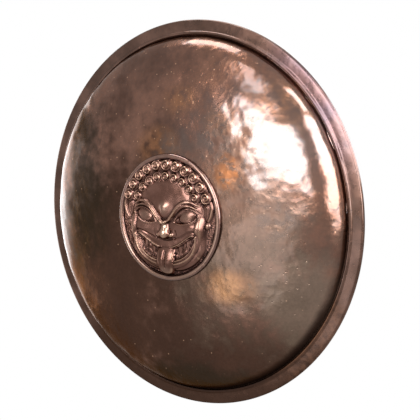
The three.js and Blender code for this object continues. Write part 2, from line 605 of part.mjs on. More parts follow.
const LIP_LIFT_SHARE = 0.75;
const LIP_FALL_SHARE = 1.1;
const LOWER_LIP_DROP_SHARE = 0.2;
const lipWidthShares = [0.035, 0.6];
const lipCornerShares = [0.56, -0.24, 0.25];
const liftShare = (x) => LIP_LIFT_SHARE - LIP_FALL_SHARE * x * x;
const upperLip = upperLipShares.map(([x, z]) => [x, z, liftShare(x)]);
const lowerLip = lowerLipShares.map(([x, z]) => [x, z, liftShare(x) - LOWER_LIP_DROP_SHARE]);
const [cornerX, ...cornerRest] = lipCornerShares;
emblem = emblem.add(ridge(upperLip, lipWidthShares, 8));
emblem = emblem.add(ridge([lipCornerShares, ...lowerLip, [-cornerX, ...cornerRest]], lipWidthShares, 10));

// Teeth hang from the upper lip in a zigzag, with one fang near each corner.
const TOOTH_REACH_SHARE = 0.54;
const TOOTH_TOP_SHARE = -0.475;
const TOOTH_BOW_SHARE = 0.62;
const TOOTH_LENGTH_SHARE = 0.09;
const FANG_LENGTH_SHARE = 0.17;
const FANG_TURN = 3;
const GUM_SHARE = 0.02;
const toothLine = Array.from({ length: 2 * TOOTH_COUNT + 1 }, (_, i) => {
  const x = (i / TOOTH_COUNT - 1) * TOOTH_REACH_SHARE;
  const fang = i === FANG_TURN || i === 2 * TOOTH_COUNT - FANG_TURN;
  const length = fang ? FANG_LENGTH_SHARE : TOOTH_LENGTH_SHARE;
  return [x, TOOTH_TOP_SHARE + TOOTH_BOW_SHARE * x * x - (i % 2) * length];
});
const gumLine = upperLipShares.map(([x, z]) => [x, z + GUM_SHARE]).reverse();
const toothShape = new THREE.Shape([...toothLine, ...gumLine].map(flatOnEmblem));
const teeth = new THREE.ExtrudeGeometry(toothShape, { depth: EMBLEM_RELIEF, bevelEnabled: false });
emblem = emblem.add(solid(teeth.rotateX(QUARTER).translate(0, mouthFloor + EMBLEM_RELIEF / 2, 0)));

// The tongue hangs over the lower lip, with a groove down its middle.
const tongueShares = [[0, -0.48, 0], [0, -0.62, 0.45], [0, -0.76, 0.5], [0, -0.9, 0.1]];
const grooveShares = [[0, -0.56, 1.35], [0, -0.66, 1.4], [0, -0.78, 1.35]];
const [tongueWidthShares, grooveWidthShares] = [[0.15, 0.8], [0.02, 0.3]];
emblem = emblem.add(ridge(tongueShares, tongueWidthShares, 6));
emblem = emblem.subtract(ridge(grooveShares, grooveWidthShares, 5));

// Curls lie in two rows along the hairline, each a coiled disc with a raised eye.
const curlDepth = CURL_RISE + EMBLEM_RELIEF;
const curlProfile = [[0, -curlDepth], [CURL_RADIUS, -curlDepth], [CURL_RADIUS, -CURL_RISE / 2],
  [CURL_RADIUS * 3 / 4, 0], [CURL_RADIUS / 2, -CURL_RISE / 3], [0, CURL_RISE / 7]];
const curlPoints = curlProfile.map(([radius, y]) => new THREE.Vector2(radius, -y));
const curlRowShares = [{ count: 11, radius: 0.84, start: 0.144 }, { count: 8, radius: 0.67, start: 0.183 }];
for (const { count, radius, start } of curlRowShares) {
  for (let i = 0; i < count; i++) {
    const angle = Math.PI * (start + ((1 - 2 * start) * i) / (count - 1));
    const at = onEmblem([radius * Math.cos(angle), radius * Math.sin(angle), 0]);
    const curl = new THREE.LatheGeometry([...curlPoints, curlPoints[0]], CURL_SIDES, angle);
    emblem = emblem.add(solid(curl.translate(at.x, at.y, at.z)));
  }
}
emblem = emblem.subtract(domeBlock(GAP));
const pinOut = EMBLEM_RADIUS * EMBLEM_PIN_SHARE;
const emblemPins = Array.from({ length: EMBLEM_PIN_COUNT }, (_, i) => {
  const angle = ((i + 1 / 2) * 2 * Math.PI) / EMBLEM_PIN_COUNT;
  const turn = new THREE.Matrix4().makeRotationX(QUARTER);
  return turn.setPosition(pinOut * Math.cos(angle), 0, pinOut * Math.sin(angle));
});
const pinTop = -atDepth(domeDepth(pinOut) + EMBLEM_FIELD / 2);
const pinTip = pinTop - EMBLEM_FIELD - SHEET - EMBLEM_PIN_DEPTH;
for (const matrix of emblemPins) emblem = emblem.add(rod(EMBLEM_PIN_RADIUS, pinTip, pinTop, matrix));
shield.add(piece('gorgoneion_emblem', emblem, emblemBronze));
const pinBores = emblemPins.map((matrix) => (
  rod(boreRadius(EMBLEM_PIN_RADIUS), pinTip - GAP, pinTop + OVERRUN, matrix)));

// Bronze face: the dome's sheet, whose foot turns out under the rim band's lip.
const faceOuter = lineAt(0);
const faceInner = lineAt(SHEET);
const flangeEdge = DOME_RADIUS + FLANGE_WIDTH;
let face = revolve([...faceOuter, [flangeEdge, atDepth(0)], [flangeEdge, atDepth(-SHEET)],
  [foot(faceInner), atDepth(-SHEET)], ...[...faceInner].reverse()]);
for (const bore of pinBores) face = face.subtract(bore);
shield.add(piece('bronze_face', face, bronze));

// Rim band: the lip over the face's foot, the flat rim, the rolled edge and the hem on the back.
const lipEdge = DOME_RADIUS + LIP_GROOVE;
const lipEnd = lipEdge + LIP_WIDTH;
const back = atDepth(-RIM_THICKNESS);
function rolled() {
  const radius = RIM_EDGE_ROUND;
  const turns = [0, 1 / 2, 1];
  const middle = SHIELD_RADIUS - RIM_EDGE_ROUND;
  const frontMiddle = atDepth(-RIM_EDGE_ROUND);
  const backMiddle = back - RIM_EDGE_ROUND;
  const [sines, cosines] = [Math.sin, Math.cos].map((wave) => turns.map((t) => radius * wave(t * QUARTER)));
  const front = turns.map((_, i) => [middle + sines[i], frontMiddle - cosines[i]]);
  const rear = turns.map((_, i) => [middle + cosines[i], backMiddle + sines[i]]);
  return [...front, ...rear];
}
const hemEdge = SHIELD_RADIUS - RIM_HEM;
const cornerOut = SHIELD_RADIUS - SHEET;
const rimProfile = [[lipEdge, atDepth(GAP)], [lipEdge, atDepth(GAP + SHEET)],
  [lipEnd, atDepth(GAP + SHEET)], [lipEnd + LIP_STEP, atDepth(0)], ...rolled(),
  [hemEdge, back], [hemEdge, back - SHEET], [cornerOut, back - SHEET], [cornerOut, atDepth(-SHEET)],
  [lipEnd + LIP_STEP, atDepth(-SHEET)], [lipEnd, atDepth(GAP)]];
shield.add(piece('rim_band', revolve(rimProfile), bronze));

// Leather lining, from the floor to the bowl's mouth.
const liningProfile = [...liningOuter, [foot(liningOuter), CORE_BACK], [foot(liningInner), CORE_BACK],
  ...[...liningInner].reverse()];
let lining = revolve(liningProfile);
for (const cut of cuts) lining = lining.subtract(cut);
shield.add(piece('leather_lining', lining, leather));

// Wooden core: one turned bowl with its rim, sawn into boards that lie level and are glued edge to edge.
const coreOuter = lineAt(CORE_OFFSET);
const coreEdge = SHIELD_RADIUS - SHEET - GAP;
const coreProfile = [...coreOuter, [foot(coreOuter), atDepth(-CORE_OFFSET)],
  [coreEdge, atDepth(-CORE_OFFSET)], [coreEdge, CORE_BACK], [foot(coreInner), CORE_BACK],
  ...[...coreInner].reverse()];
let core = revolve(coreProfile);
for (const cut of [...cuts, ...pinBores]) core = core.subtract(cut);
const boardWidth = (2 * SHIELD_RADIUS) / BOARD_COUNT;
for (let i = 0; i < BOARD_COUNT; i++) {
  const top = SHIELD_RADIUS - i * boardWidth;
  const bottom = top - boardWidth + GAP / 2;
  const low = new THREE.Vector3(-SHIELD_RADIUS - OVERRUN, atDepth(DOME_RISE + OVERRUN), bottom);
  const high = new THREE.Vector3(SHIELD_RADIUS + OVERRUN, CORE_BACK + OVERRUN, top - GAP / 2);
  shield.add(piece(`core_board_${i + 1}`, core.intersect(block(low, high)), poplar));
}

export default shield;
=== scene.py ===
# %% [markdown]
# # A hoplite's round shield
# The aspis is a shallow wooden bowl, faced with one sheet of bronze. A bronze band wraps its flat rim, and
# a gorgon's face, beaten in relief, is pinned to the middle. Inside are a leather lining, the arm band, the
# hand grip and six rings for the edge cord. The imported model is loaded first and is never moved, so each
# surface below is worked out in the same frame: metres, Z up, the face towards -Y.

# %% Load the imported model
import math
from functools import reduce

import bpy
import numpy as np
from mathutils import Matrix, Vector


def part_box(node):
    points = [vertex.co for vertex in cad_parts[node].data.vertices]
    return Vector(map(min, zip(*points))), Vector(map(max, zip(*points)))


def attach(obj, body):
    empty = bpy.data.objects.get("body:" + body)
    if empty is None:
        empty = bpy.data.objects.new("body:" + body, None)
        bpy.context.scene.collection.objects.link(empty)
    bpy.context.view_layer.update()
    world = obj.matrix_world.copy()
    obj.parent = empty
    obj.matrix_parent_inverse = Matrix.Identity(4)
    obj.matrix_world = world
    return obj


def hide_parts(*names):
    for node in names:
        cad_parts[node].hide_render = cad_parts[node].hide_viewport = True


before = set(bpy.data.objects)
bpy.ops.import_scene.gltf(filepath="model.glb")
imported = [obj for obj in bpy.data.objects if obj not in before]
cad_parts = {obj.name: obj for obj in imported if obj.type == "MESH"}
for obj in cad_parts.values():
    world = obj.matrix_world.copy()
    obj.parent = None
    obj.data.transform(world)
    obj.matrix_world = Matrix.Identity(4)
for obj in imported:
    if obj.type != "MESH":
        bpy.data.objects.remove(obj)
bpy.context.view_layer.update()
MM = 0.001

# %% [markdown]
# The camera comes next, because every choice of detail depends on how large it looks. Its angle and
# distance were fitted to the outline of the rim, its seam and the emblem's border: it stands 37 degrees
# round to the shield's left side, 6 degrees above the middle and 3.15 m away, with a long lens.

# %% Camera
AZIMUTH = 0.6459
ELEVATION = 0.1044
ROLL = -0.0132
DISTANCE = 3.15
FOCAL_PIXELS = 1345.18
IMAGE_PIXELS = 420
TARGET_PIXEL = (195.22, 213.47)
RIM_FRONT_Y = 48.1


def towards(azimuth, elevation):
    """The unit vector to a place round the scene: azimuth turns from -Y to +X, elevation lifts it to +Z."""
    flat = math.cos(elevation)
    return Vector((math.sin(azimuth) * flat, -math.cos(azimuth) * flat, math.sin(elevation)))


back = towards(AZIMUTH, ELEVATION)
level = Vector((math.cos(AZIMUTH), math.sin(AZIMUTH), 0))
plumb = back.cross(level)
right = math.cos(ROLL) * level + math.sin(ROLL) * plumb
up = math.cos(ROLL) * plumb - math.sin(ROLL) * level
lens = bpy.data.cameras.new("portrait_lens")
lens.sensor_width = 36
lens.lens = FOCAL_PIXELS * lens.sensor_width / IMAGE_PIXELS
lens.shift_x = (IMAGE_PIXELS / 2 - TARGET_PIXEL[0]) / IMAGE_PIXELS
lens.shift_y = (TARGET_PIXEL[1] - IMAGE_PIXELS / 2) / IMAGE_PIXELS
camera = bpy.data.objects.new("portrait_camera", lens)
camera.matrix_world = Matrix.Translation(Vector((0, RIM_FRONT_Y * MM, 0)) + back * DISTANCE) @ Matrix(
    (right, up, back)).transposed().to_4x4()
bpy.context.scene.collection.objects.link(camera)
bpy.context.scene.camera = camera
bpy.context.scene.view_settings.view_transform = "Standard"
print("camera at", np.round(camera.matrix_world.translation, 3), "lens", round(lens.lens, 1), "mm")

# %% [markdown]
# The light and every finish are small graphs of nodes. They could be written with a line for each node and
# for each link, but then their sums are hard to read. Two classes make them short instead: a Wire stands
# for a socket and turns Python's sums into Math nodes, and a Graph adds any other node with one method.

# %% Wires and graphs
class Wire:
    """A socket of a graph. Sums and products with numbers or other wires add Math nodes."""

    def __init__(self, graph, socket):
        self.graph, self.socket = graph, socket

    def maths(self, operation, *others):
        """A Math node whose first value is this wire."""
        return self.graph.maths(operation, self, *others)

    def __add__(self, other):
        return self.maths("ADD", other)

    def __sub__(self, other):
        return self.maths("SUBTRACT", other)

    def __rsub__(self, other):
        return self.graph.maths("SUBTRACT", other, self)

    def __mul__(self, other):
        return self.maths("MULTIPLY", other)

    def __truediv__(self, other):
        return self.maths("DIVIDE", other)

    def __rtruediv__(self, other):
        return self.graph.maths("DIVIDE", other, self)

    __radd__ = __add__
    __rmul__ = __mul__

    def larger(self, other):
        return self.maths("MAXIMUM", other)

    def size(self):
        return self.maths("ABSOLUTE")

    def fraction(self):
        return self.maths("FRACT")


class Graph:
    """A tree of nodes that starts empty."""

    def __init__(self, tree):
        self.tree = tree
        tree.nodes.clear()

    def plug(self, socket, value):
        """A wire is linked to the socket; anything else becomes the socket's own value."""
        if isinstance(value, Wire):
            self.tree.links.new(value.socket, socket)
        elif socket.type == "RGBA":
            socket.default_value = (*value, 1)
        else:
            socket.default_value = value

    def node(self, kind, settings={}, inputs={}, output=0):
        """One node of any kind: its settings first, then its sockets. Returns one of its outputs as a wire,
        or nothing for a node at the end of a graph, which has none."""
        made = self.tree.nodes.new("ShaderNode" + kind)
        for setting, value in settings.items():
            setattr(made, setting, value)
        for socket, value in inputs.items():
            self.plug(made.inputs[socket], value)
        return Wire(self, made.outputs[output]) if len(made.outputs) else None

    def maths(self, operation, *values):
        """A Math node on wires or numbers."""
        return self.node("Math", {"operation": operation}, dict(enumerate(values)))

    def ray(self, kind):
        """1 for rays of one kind, such as Camera or Glossy, and 0 for all others."""
        return self.node("LightPath", output=f"Is {kind} Ray")


print("wires and graphs ready")

# %% [markdown]
# Polished bronze shows little of its own colour: it shows the room. So the lights matter as much as the
# metal. The world is plain white where the camera or a reflection sees it, and softer as light. Large soft
# boxes stand in front, above, at the left and behind at the right, where the shine in such a room comes
# from.

# %% World and soft boxes
WORLD_LIGHT = 0.45
WHITE = (1, 1, 1)
DAYLIGHT = (0.90, 0.95, 1.0)
SOFT_BOXES = {
    # name: (azimuth, elevation, distance, width, height, radiance), in degrees and metres
    "front_window": (4, 18, 3.2, 2.3, 1.5, 2.2),
    "front_core": (2, 16, 3.0, 1.9, 1.25, 8.0),
    "high_front": (-8, 50, 3.2, 0.5, 1.3, 6.0),
    "high_left": (-92, 69, 3.0, 1.0, 1.3, 10.0),
    "left_strip": (-112, -4, 3.0, 2.0, 2.1, 2.6),
    "left_fade": (-84, -9, 3.0, 1.2, 2.0, 1.4),
    "right_strip": (72, 22, 3.0, 2.05, 2.7, 11.0),
    "high_right": (72, 58, 3.0, 1.0, 0.6, 9.0),
    "back_right": (147, 22, 3.0, 1.3, 1.4, 10.0),
    "low_front": (-13, -16, 3.0, 1.45, 1.15, 1.5),
    "back_left": (-160, 35, 3.2, 1.6, 1.2, 1.8),
}


def soft_box(name, azimuth, elevation, distance, width, height, radiance):
    """An area light that faces the shield and is itself out of the camera's sight. An area light of a given
    radiance has a power of 4 radiance width height."""
    lamp = bpy.data.lights.new(name, "AREA")
    lamp.shape = "RECTANGLE"
    lamp.size, lamp.size_y = width, height
    lamp.color = DAYLIGHT
    lamp.energy = 4 * radiance * width * height
    box = bpy.data.objects.new(name, lamp)
    place = towards(math.radians(azimuth), math.radians(elevation))
    turned_round = place.to_track_quat("Z", "Y").to_matrix().to_4x4()
    box.matrix_world = Matrix.Translation(place * distance) @ turned_round
    box.visible_camera = False
    bpy.context.scene.collection.objects.link(box)


for name, values in SOFT_BOXES.items():
    soft_box(name, *values)

world = bpy.data.worlds.new("white_room")
bpy.context.scene.world = world
world.use_nodes = True
sky = Graph(world.node_tree)
seen = sky.ray("Camera").larger(sky.ray("Glossy")).larger(sky.ray("Transmission"))
glow = sky.node("Background", inputs={"Color": WHITE, "Strength": seen * (1 - WORLD_LIGHT) + WORLD_LIGHT})
sky.node("OutputWorld", inputs={"Surface": glow})
print(len(SOFT_BOXES), "soft boxes, world", WORLD_LIGHT)

# %% [markdown]
# A finish is a material. Real surfaces are never one flat colour, and a picture wrapped round the shield
# would show its seams and its pixels. So each finish is painted with a few patterns that have no seam:
# noise, cells and soft spots, laid over each other as shares between 0 and 1.

# %% Finishes
class Finish(Graph):
    """A material; values that never vary go on the shader's own sockets."""

    def __init__(self, name, **constants):
        self.material = bpy.data.materials.new(name)
        self.material.use_nodes = True
        super().__init__(self.material.node_tree)
        self.place = self.node("TexCoord", output="Object")
        shader = self.node("BsdfPrincipled")
        self.sockets = shader.socket.node.inputs
        self.end = self.tree.nodes.new("ShaderNodeOutputMaterial").inputs["Surface"]
        self.plug(self.end, shader)
        self.wear(**constants)

    def wear(self, **values):
        """Values or wires for the shader's sockets, whose names have _ for a space."""
        for socket, value in values.items():
            self.plug(self.sockets[socket.replace("_", " ")], value)

    def noise(self, size, detail=2.0, stretch=(1, 1, 1), seed=0.0):
        """Smooth noise from 0 to 1 whose lumps are about `size` metres across."""
        at = self.node("Mapping", inputs={"Vector": self.place, "Location": (seed, seed / 3, -seed / 2),
                                          "Scale": stretch})
        return self.node("TexNoise", inputs={"Vector": at, "Scale": 1 / size, "Detail": detail})

    def cell(self, per_metre, output="Distance", settings={}, **inputs):
        """A cell pattern: the distance to the nearest of scattered points, or each cell's own colour."""
        return self.node("TexVoronoi", settings, {"Vector": self.place, "Scale": per_metre, **inputs}, output)

    def attribute(self, name):
        """A number kept on the points of the mesh."""
        return self.node("Attribute", {"attribute_name": name}, output="Fac")

    def away(self, keep=(1, 0, 1)):
        """Distance in metres from the shield's axis, or from the line whose direction `keep` leaves out."""
        flat = self.node("VectorMath", {"operation": "MULTIPLY"}, {0: self.place, 1: keep})
        return self.node("VectorMath", {"operation": "LENGTH"}, {0: flat}, "Value")

    def step(self, value, low, high):
        """0 below `low`, 1 above `high`, with a smooth rise between; backwards where low is above high."""
        settings = {"interpolation_type": "SMOOTHSTEP"}
        return self.node("MapRange", settings, {"Value": value, "From Min": low, "From Max": high})

    def spot(self, x, z, width, height, ragged=None):
        """1 at a place on the shield, seen from the front, and 0 outside an ellipse, with a ragged edge."""
        shift = self.node("Mapping", inputs={"Vector": self.place, "Location": (-x / width, 0, -z / height),
                                             "Scale": (1 / width, 0, 1 / height)})
        out = self.node("VectorMath", {"operation": "LENGTH"}, {0: shift}, "Value")
        return self.step(out if ragged is None else out + ragged, 1.0, 0.25)

    def spots(self, ellipses, ragged=None):
        """The strongest of several spots."""
        return reduce(Wire.larger, [self.spot(*ellipse, ragged) for ellipse in ellipses])

    def mix(self, share, first, second):
        """Two colours mixed by a share."""
        return self.node("Mix", {"data_type": "RGBA"}, {0: share, 6: first, 7: second}, output=2)

    def paint(self, colour, *layers):
        """A colour under layers, each of them a share and a colour; the last lies on top."""
        for share, over in layers:
            colour = self.mix(share, colour, over)
        return colour

    def tint(self, colour, share):
        """A colour made brighter or darker by a wire, in linear light."""
        grey = self.node("CombineColor", inputs={0: share, 1: share, 2: share})
        settings = {"data_type": "RGBA", "blend_type": "MULTIPLY"}
        return self.node("Mix", settings, {0: 1.0, 6: colour, 7: grey}, 2)

    def bump(self, height_mm):
        """A normal from heights in millimetres."""
        return self.node("Bump", {}, {"Height": height_mm, "Distance": MM}, "Normal")


print("finish kit ready")

# %% [markdown]
# Every new piece is a closed surface of grid points. These helpers turn arrays of points into meshes, so
# that a piece is only a formula. A closed surface has a volume, and its sign shows whether the faces look
# outwards.

# %% Surfaces from arrays
def cells(rows, columns, round_rows=False, round_columns=False, start=0):
    """The four corners of each cell of a grid of points; a round direction joins its end to its start."""
    i = np.arange(rows if round_rows else rows - 1)[:, None]
    j = np.arange(columns if round_columns else columns - 1)[None]
    k, m = (i + 1) % rows, (j + 1) % columns
    corners = [i * columns + j, i * columns + m, k * columns + m, k * columns + j]
    return start + np.stack(np.broadcast_arrays(*corners), -1).reshape(-1, 4)


def fan(loop, pole):
    """Triangles from a closed loop of points to one pole."""
    return np.stack([loop, np.roll(loop, -1), np.full(len(loop), pole)], -1)


def bridge(first, second):
    """Four-cornered faces between two closed loops of equally many points."""
    return np.stack([first, np.roll(first, -1), np.roll(second, -1), second], -1)


def volume_of(points, faces):
    """The sum over the triangles of a dot (b cross c) / 6, which is positive where faces look outwards."""
    total = 0.0
    for corners in faces:
        a = points[corners[:, 0]]
        for n in range(1, corners.shape[1] - 1):
            b, c = points[corners[:, n]], points[corners[:, n + 1]]
            total += np.einsum("ij,ij->i", a, np.cross(b, c)).sum() / 6
    return total


def make_piece(name, points_mm, faces, finish, slot, body="shield", stands_for=None, **attributes):
    """Points in mm and arrays of faces as one mesh that rides on a body and replaces its CAD node."""
    points = np.asarray(points_mm, float).reshape(-1, 3) * MM
    faces = faces if isinstance(faces, list) else [faces]
    if volume_of(points, faces) < 0:
        faces = [corners[:, ::-1] for corners in faces]
    mesh = bpy.data.meshes.new(name)
    mesh.vertices.add(len(points))
    mesh.vertices.foreach_set("co", points.astype(np.float32).ravel())
    corners = np.concatenate([part.ravel() for part in faces])
    sizes = np.concatenate([np.full(len(part), part.shape[1]) for part in faces])
    mesh.loops.add(len(corners))
    mesh.loops.foreach_set("vertex_index", corners.astype(np.int32))
    mesh.polygons.add(len(sizes))
    mesh.polygons.foreach_set("loop_start", (np.cumsum(sizes) - sizes).astype(np.int32))
    mesh.polygons.foreach_set("use_smooth", np.ones(len(sizes), bool))
    mesh.update(calc_edges=True)
    mesh.validate()
    for label, values in attributes.items():
        attribute = mesh.attributes.new(label, "FLOAT", "POINT")
        attribute.data.foreach_set("value", values.astype(np.float32).ravel())
    mesh.materials.append(finish.material)
    piece = bpy.data.objects.new(name, mesh)
    bpy.context.scene.collection.objects.link(piece)
    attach(piece, body)
    if stands_for:
        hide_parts(*([stands_for] if isinstance(stands_for, str) else stands_for))
    print(f"{name}: {len(points)} points, {int((sizes - 2).sum())} triangles")
    return piece


def waves(points, shortest, longest, count, seed):
    """Cosine waves of seeded directions, lengths and phases, added up; most of the sum lies within 2."""
    rng = np.random.default_rng(seed)
    direction = rng.normal(size=(count, 3))
    direction /= np.linalg.norm(direction, axis=1, keepdims=True)
    pitch = rng.uniform(shortest, longest, count)
    turn = points @ (direction * 2 * np.pi / pitch[:, None]).T + rng.uniform(0, 2 * np.pi, count)
    return np.cos(turn).sum(-1) * math.sqrt(2 / count)


def disc_grid(across):
    """A square grid drawn out to a disc: each square ring of cells becomes a circle, and the place along the
    ring becomes the angle. Returns the share of the radius, the angle, the cells and the outer loop."""
    line = np.linspace(-1, 1, across + 1)
    a, b = np.meshgrid(line, line, indexing="ij")
    wide = np.abs(a) >= np.abs(b)
    share = np.maximum(np.abs(a), np.abs(b))
    angle_a = np.pi / 4 * b / np.where(a == 0, 1, a) + np.where(a < 0, np.pi, 0)
    angle_b = np.pi / 2 - np.pi / 4 * a / np.where(b == 0, 1, b) + np.where(b < 0, np.pi, 0)
    angle = np.where(wide, angle_a, angle_b).ravel() % (2 * np.pi)
    share = share.ravel()
    edge = np.flatnonzero(share > 1 - 1e-9)
    return share, angle, cells(across + 1, across + 1)[:, ::-1], edge[np.argsort(angle[edge])]


def closed_disc(front, grid, loop, rows, pole):
    """A disc's front, rows behind it from its edge inwards, and a pole, as points and outward faces."""
    points = np.concatenate([front, rows.reshape(-1, 3), [pole]])
    ring = len(front) + np.arange(len(loop))
    behind = cells(len(rows), len(loop), round_columns=True, start=len(front))[:, ::-1]
    last = fan(ring + (len(rows) - 1) * len(loop), len(points) - 1)[:, ::-1]
    return points, [grid, bridge(ring, loop), behind, last]


print("surface kit ready")

# %% [markdown]
# ## The bronze finish
# The metal is old tin bronze under a dark brown patina. In the patina are copper-red blotches, a dull beige
# haze on the right, which is partly a painted reflection of a soft light, and pits and small bright specks
# where the hammer broke through. The darker ground at the lower left and along the bottom, a dark olive tone
# at the left and the bottom, and a dark line at the foot of the dome at the lower right are painted shade.
# Hammering leaves shallow dimples about a centimetre across, which break the shine into patches. A clear
# coat, stronger in some places than in others, is the polish over the patina.

# %% The face's bronze
EDGE_TINT = (0.54, 0.46, 0.42)
DARK_BROWN, LIGHT_BROWN, SHADE_BROWN = (0.078, 0.034, 0.021), (0.158, 0.070, 0.043), (0.048, 0.025, 0.017)
COPPER, AMBER, EMBER = (0.25, 0.105, 0.042), (0.34, 0.17, 0.082), (0.34, 0.125, 0.045)
OLIVE_SHADE, HAZE_AND_REFLECTION, RUST = (0.026, 0.018, 0.011), (0.20, 0.145, 0.105), (0.070, 0.028, 0.015)
SPARK, WINE, SHADOW = (0.50, 0.30, 0.19), (0.075, 0.036, 0.029), (0.020, 0.010, 0.007)
SPECKS_PER_METRE = 95.0
CREASE_START, CREASE_END = 0.398, 0.409
# each spot is an ellipse: (x, z, half its width, half its height) in metres, seen from the front
# the first two lists place painted shade: darker ground at the lower left and the bottom, an olive tone at
# the left and the bottom
SHADE_SPOTS = [(-0.24, -0.20, 0.62, 0.54), (0.12, -0.36, 0.50, 0.26)]
OLIVE_SHADE_SPOTS = [(-0.29, 0.05, 0.13, 0.28), (0.06, -0.385, 0.30, 0.06)]
BLOTCHES = [(-0.047, 0.165, 0.085, 0.060), (0.155, 0.10, 0.080, 0.075), (0.155, -0.150, 0.095, 0.060),
            (0.02, 0.27, 0.07, 0.05), (0.21, 0.16, 0.05, 0.07), (0.275, 0.265, 0.11, 0.08),
            (0.14, 0.22, 0.06, 0.05)]
DENTED_SPOTS = [(0.27, -0.19, 0.15, 0.15), (0.16, 0.27, 0.14, 0.10)]
LOWER_RIGHT = (0.24, -0.34, 0.70, 0.40)


def hammered(finish, dimple=0.011, depth=0.35, dents=0.0):
    """Heights in mm: each cell of a cell pattern is a shallow dish, and fine noise roughens it."""
    dish = finish.cell(1 / dimple, settings={"feature": "SMOOTH_F1"}, Smoothness=0.45)
    swell = finish.noise(0.034, 4.0, seed=3.1)
    grain = finish.noise(0.0035, 2.0, seed=1.7)
    pit = finish.cell(0.7 / dimple)
    return dish * dish * depth + swell * 1.1 + grain * 0.05 - finish.step(pit, 0.16, 0.04) * (dents + 0.22)


face_finish = Finish("hammered_face_bronze", Metallic=1.0, Coat_IOR=1.6, Coat_Roughness=0.13,
                     Specular_Tint=EDGE_TINT)
patch = face_finish.noise(0.13, 3.0)
mottle = face_finish.noise(0.022, 3.0, seed=4.2)
fine = face_finish.noise(0.006, 2.0, seed=9.4)
island = face_finish.noise(0.016, 4.0, seed=12.3)
edge = (patch - 0.5) * 1.1 + (mottle - 0.5) * 0.7
shade = face_finish.step(patch + (mottle - 0.5) * 0.35, 0.34, 0.70)
# painted shade: darker ground at the lower left and along the bottom, and a dark olive tone at the left and
# the bottom
low_left_shade = face_finish.spots(SHADE_SPOTS, edge)
olive_shade = face_finish.spots(OLIVE_SHADE_SPOTS, edge)
# beige haze on the right: partly dust, partly a painted reflection of a soft light
haze_and_reflection = face_finish.spot(0.20, -0.02, 0.24, 0.34, edge)
haze_and_reflection = haze_and_reflection.larger(face_finish.spot(0.32, -0.17, 0.16, 0.16, edge) * 1.5)
blotches = face_finish.spots(BLOTCHES, edge) * face_finish.step(mottle, 0.22, 0.66)
amber = face_finish.spot(0.150, -0.150, 0.055, 0.048, edge * 0.8) * face_finish.step(mottle, 0.10, 0.55)
rusty = face_finish.spot(0.165, 0.115, 0.13, 0.15, edge) * face_finish.step(island, 0.46, 0.66)
ember = face_finish.spot(0.158, 0.100, 0.050, 0.050, edge * 1.4) * face_finish.step(island, 0.34, 0.60)
chance = face_finish.node("SeparateColor", inputs={0: face_finish.cell(SPECKS_PER_METRE, "Color")})
chance = chance + face_finish.spot(-0.02, 0.24, 0.24, 0.26) * 0.42
specks = face_finish.step(face_finish.cell(SPECKS_PER_METRE), 0.20, 0.06)
specks = specks * face_finish.step(chance, 0.90, 1.0)
shine = face_finish.spot(0.235, 0.19, 0.26, 0.24, edge)
# painted shade: a dark line at the foot of the dome at the lower right, which is also rougher and has less
# coat
crease = face_finish.step(face_finish.away(), CREASE_START, CREASE_END) * face_finish.spot(*LOWER_RIGHT)
# among these layers the darker lower-left, left and bottom are painted shade, and the beige haze is partly a
# painted reflection
colour = face_finish.paint(
    DARK_BROWN, (shade, LIGHT_BROWN), (low_left_shade * 0.85, SHADE_BROWN), (olive_shade * 0.8, OLIVE_SHADE), (haze_and_reflection * 0.35, HAZE_AND_REFLECTION),
    (blotches * 0.55, COPPER), (amber * 0.75, AMBER), (rusty * 0.65, RUST), (specks * 0.7, SPARK))
colour = face_finish.tint(colour, 0.80 + fine * 0.4)
# the last layer is the painted shade at the foot of the dome
colour = face_finish.paint(colour, (shine * 0.35, WINE), (ember * 0.7, EMBER), (crease * 0.9, SHADOW))
shine = shine.larger(face_finish.spot(-0.405, 0.02, 0.10, 0.32, edge * 0.5) * 0.8)
clear = (0.55 - low_left_shade * 0.5) * (0.45 + patch * 0.6) * (1 - shine) + shine * (1 - rusty * 0.6)
clear = clear * (1 - ember * 0.6) * (1 - crease * 0.9)
dented = face_finish.spots(DENTED_SPOTS, edge) * 0.45
face_finish.wear(Base_Color=colour, Coat_Weight=clear,
                 Roughness=0.15 + mottle * 0.16 + haze_and_reflection * 0.05 + rusty * 0.12 + crease * 0.3,
                 Normal=face_finish.bump(hammered(face_finish, dents=dented)))
print("face bronze ready:", len(face_finish.tree.nodes), "nodes")

# %% [markdown]
# The rim is the same bronze, handled more: hands and weather smooth it, so its dimples are shallower. It is
# darker below, which is painted shade, and a dull plum at the upper right. At the lower right the seam at its
# inner edge is painted dark as shade, with a warm tone in it.

# %% The rim's bronze
RIM_DARK, RIM_LIGHT, RIM_SHADE = (0.066, 0.033, 0.022), (0.118, 0.060, 0.042), (0.046, 0.023, 0.015)
PLUM, DARK_PLUM = (0.16, 0.085, 0.082), (0.070, 0.044, 0.054)
WARM, WARM_SEAM = (0.20, 0.095, 0.055), (0.20, 0.085, 0.040)
SEAM_START, SEAM_END = 0.4240, 0.4175
rim_finish = Finish("rim_bronze", Metallic=1.0, Coat_IOR=1.5, Coat_Roughness=0.14, Specular_Tint=EDGE_TINT)
patch = rim_finish.noise(0.09, 3.0, seed=2.6)
mottle = rim_finish.noise(0.014, 3.0, seed=5.5)
edge = (patch - 0.5) * 0.8
# painted shade: the rim is darker below, and has less coat there
under = rim_finish.spot(0.04, -0.45, 0.90, 0.62, edge)
plum = rim_finish.spot(0.34, 0.28, 0.20, 0.26, edge)
warm = rim_finish.spot(0.33, -0.26, 0.17, 0.20, (patch - 0.5) * 1.2)
seam = rim_finish.step(rim_finish.away(), SEAM_START, SEAM_END)
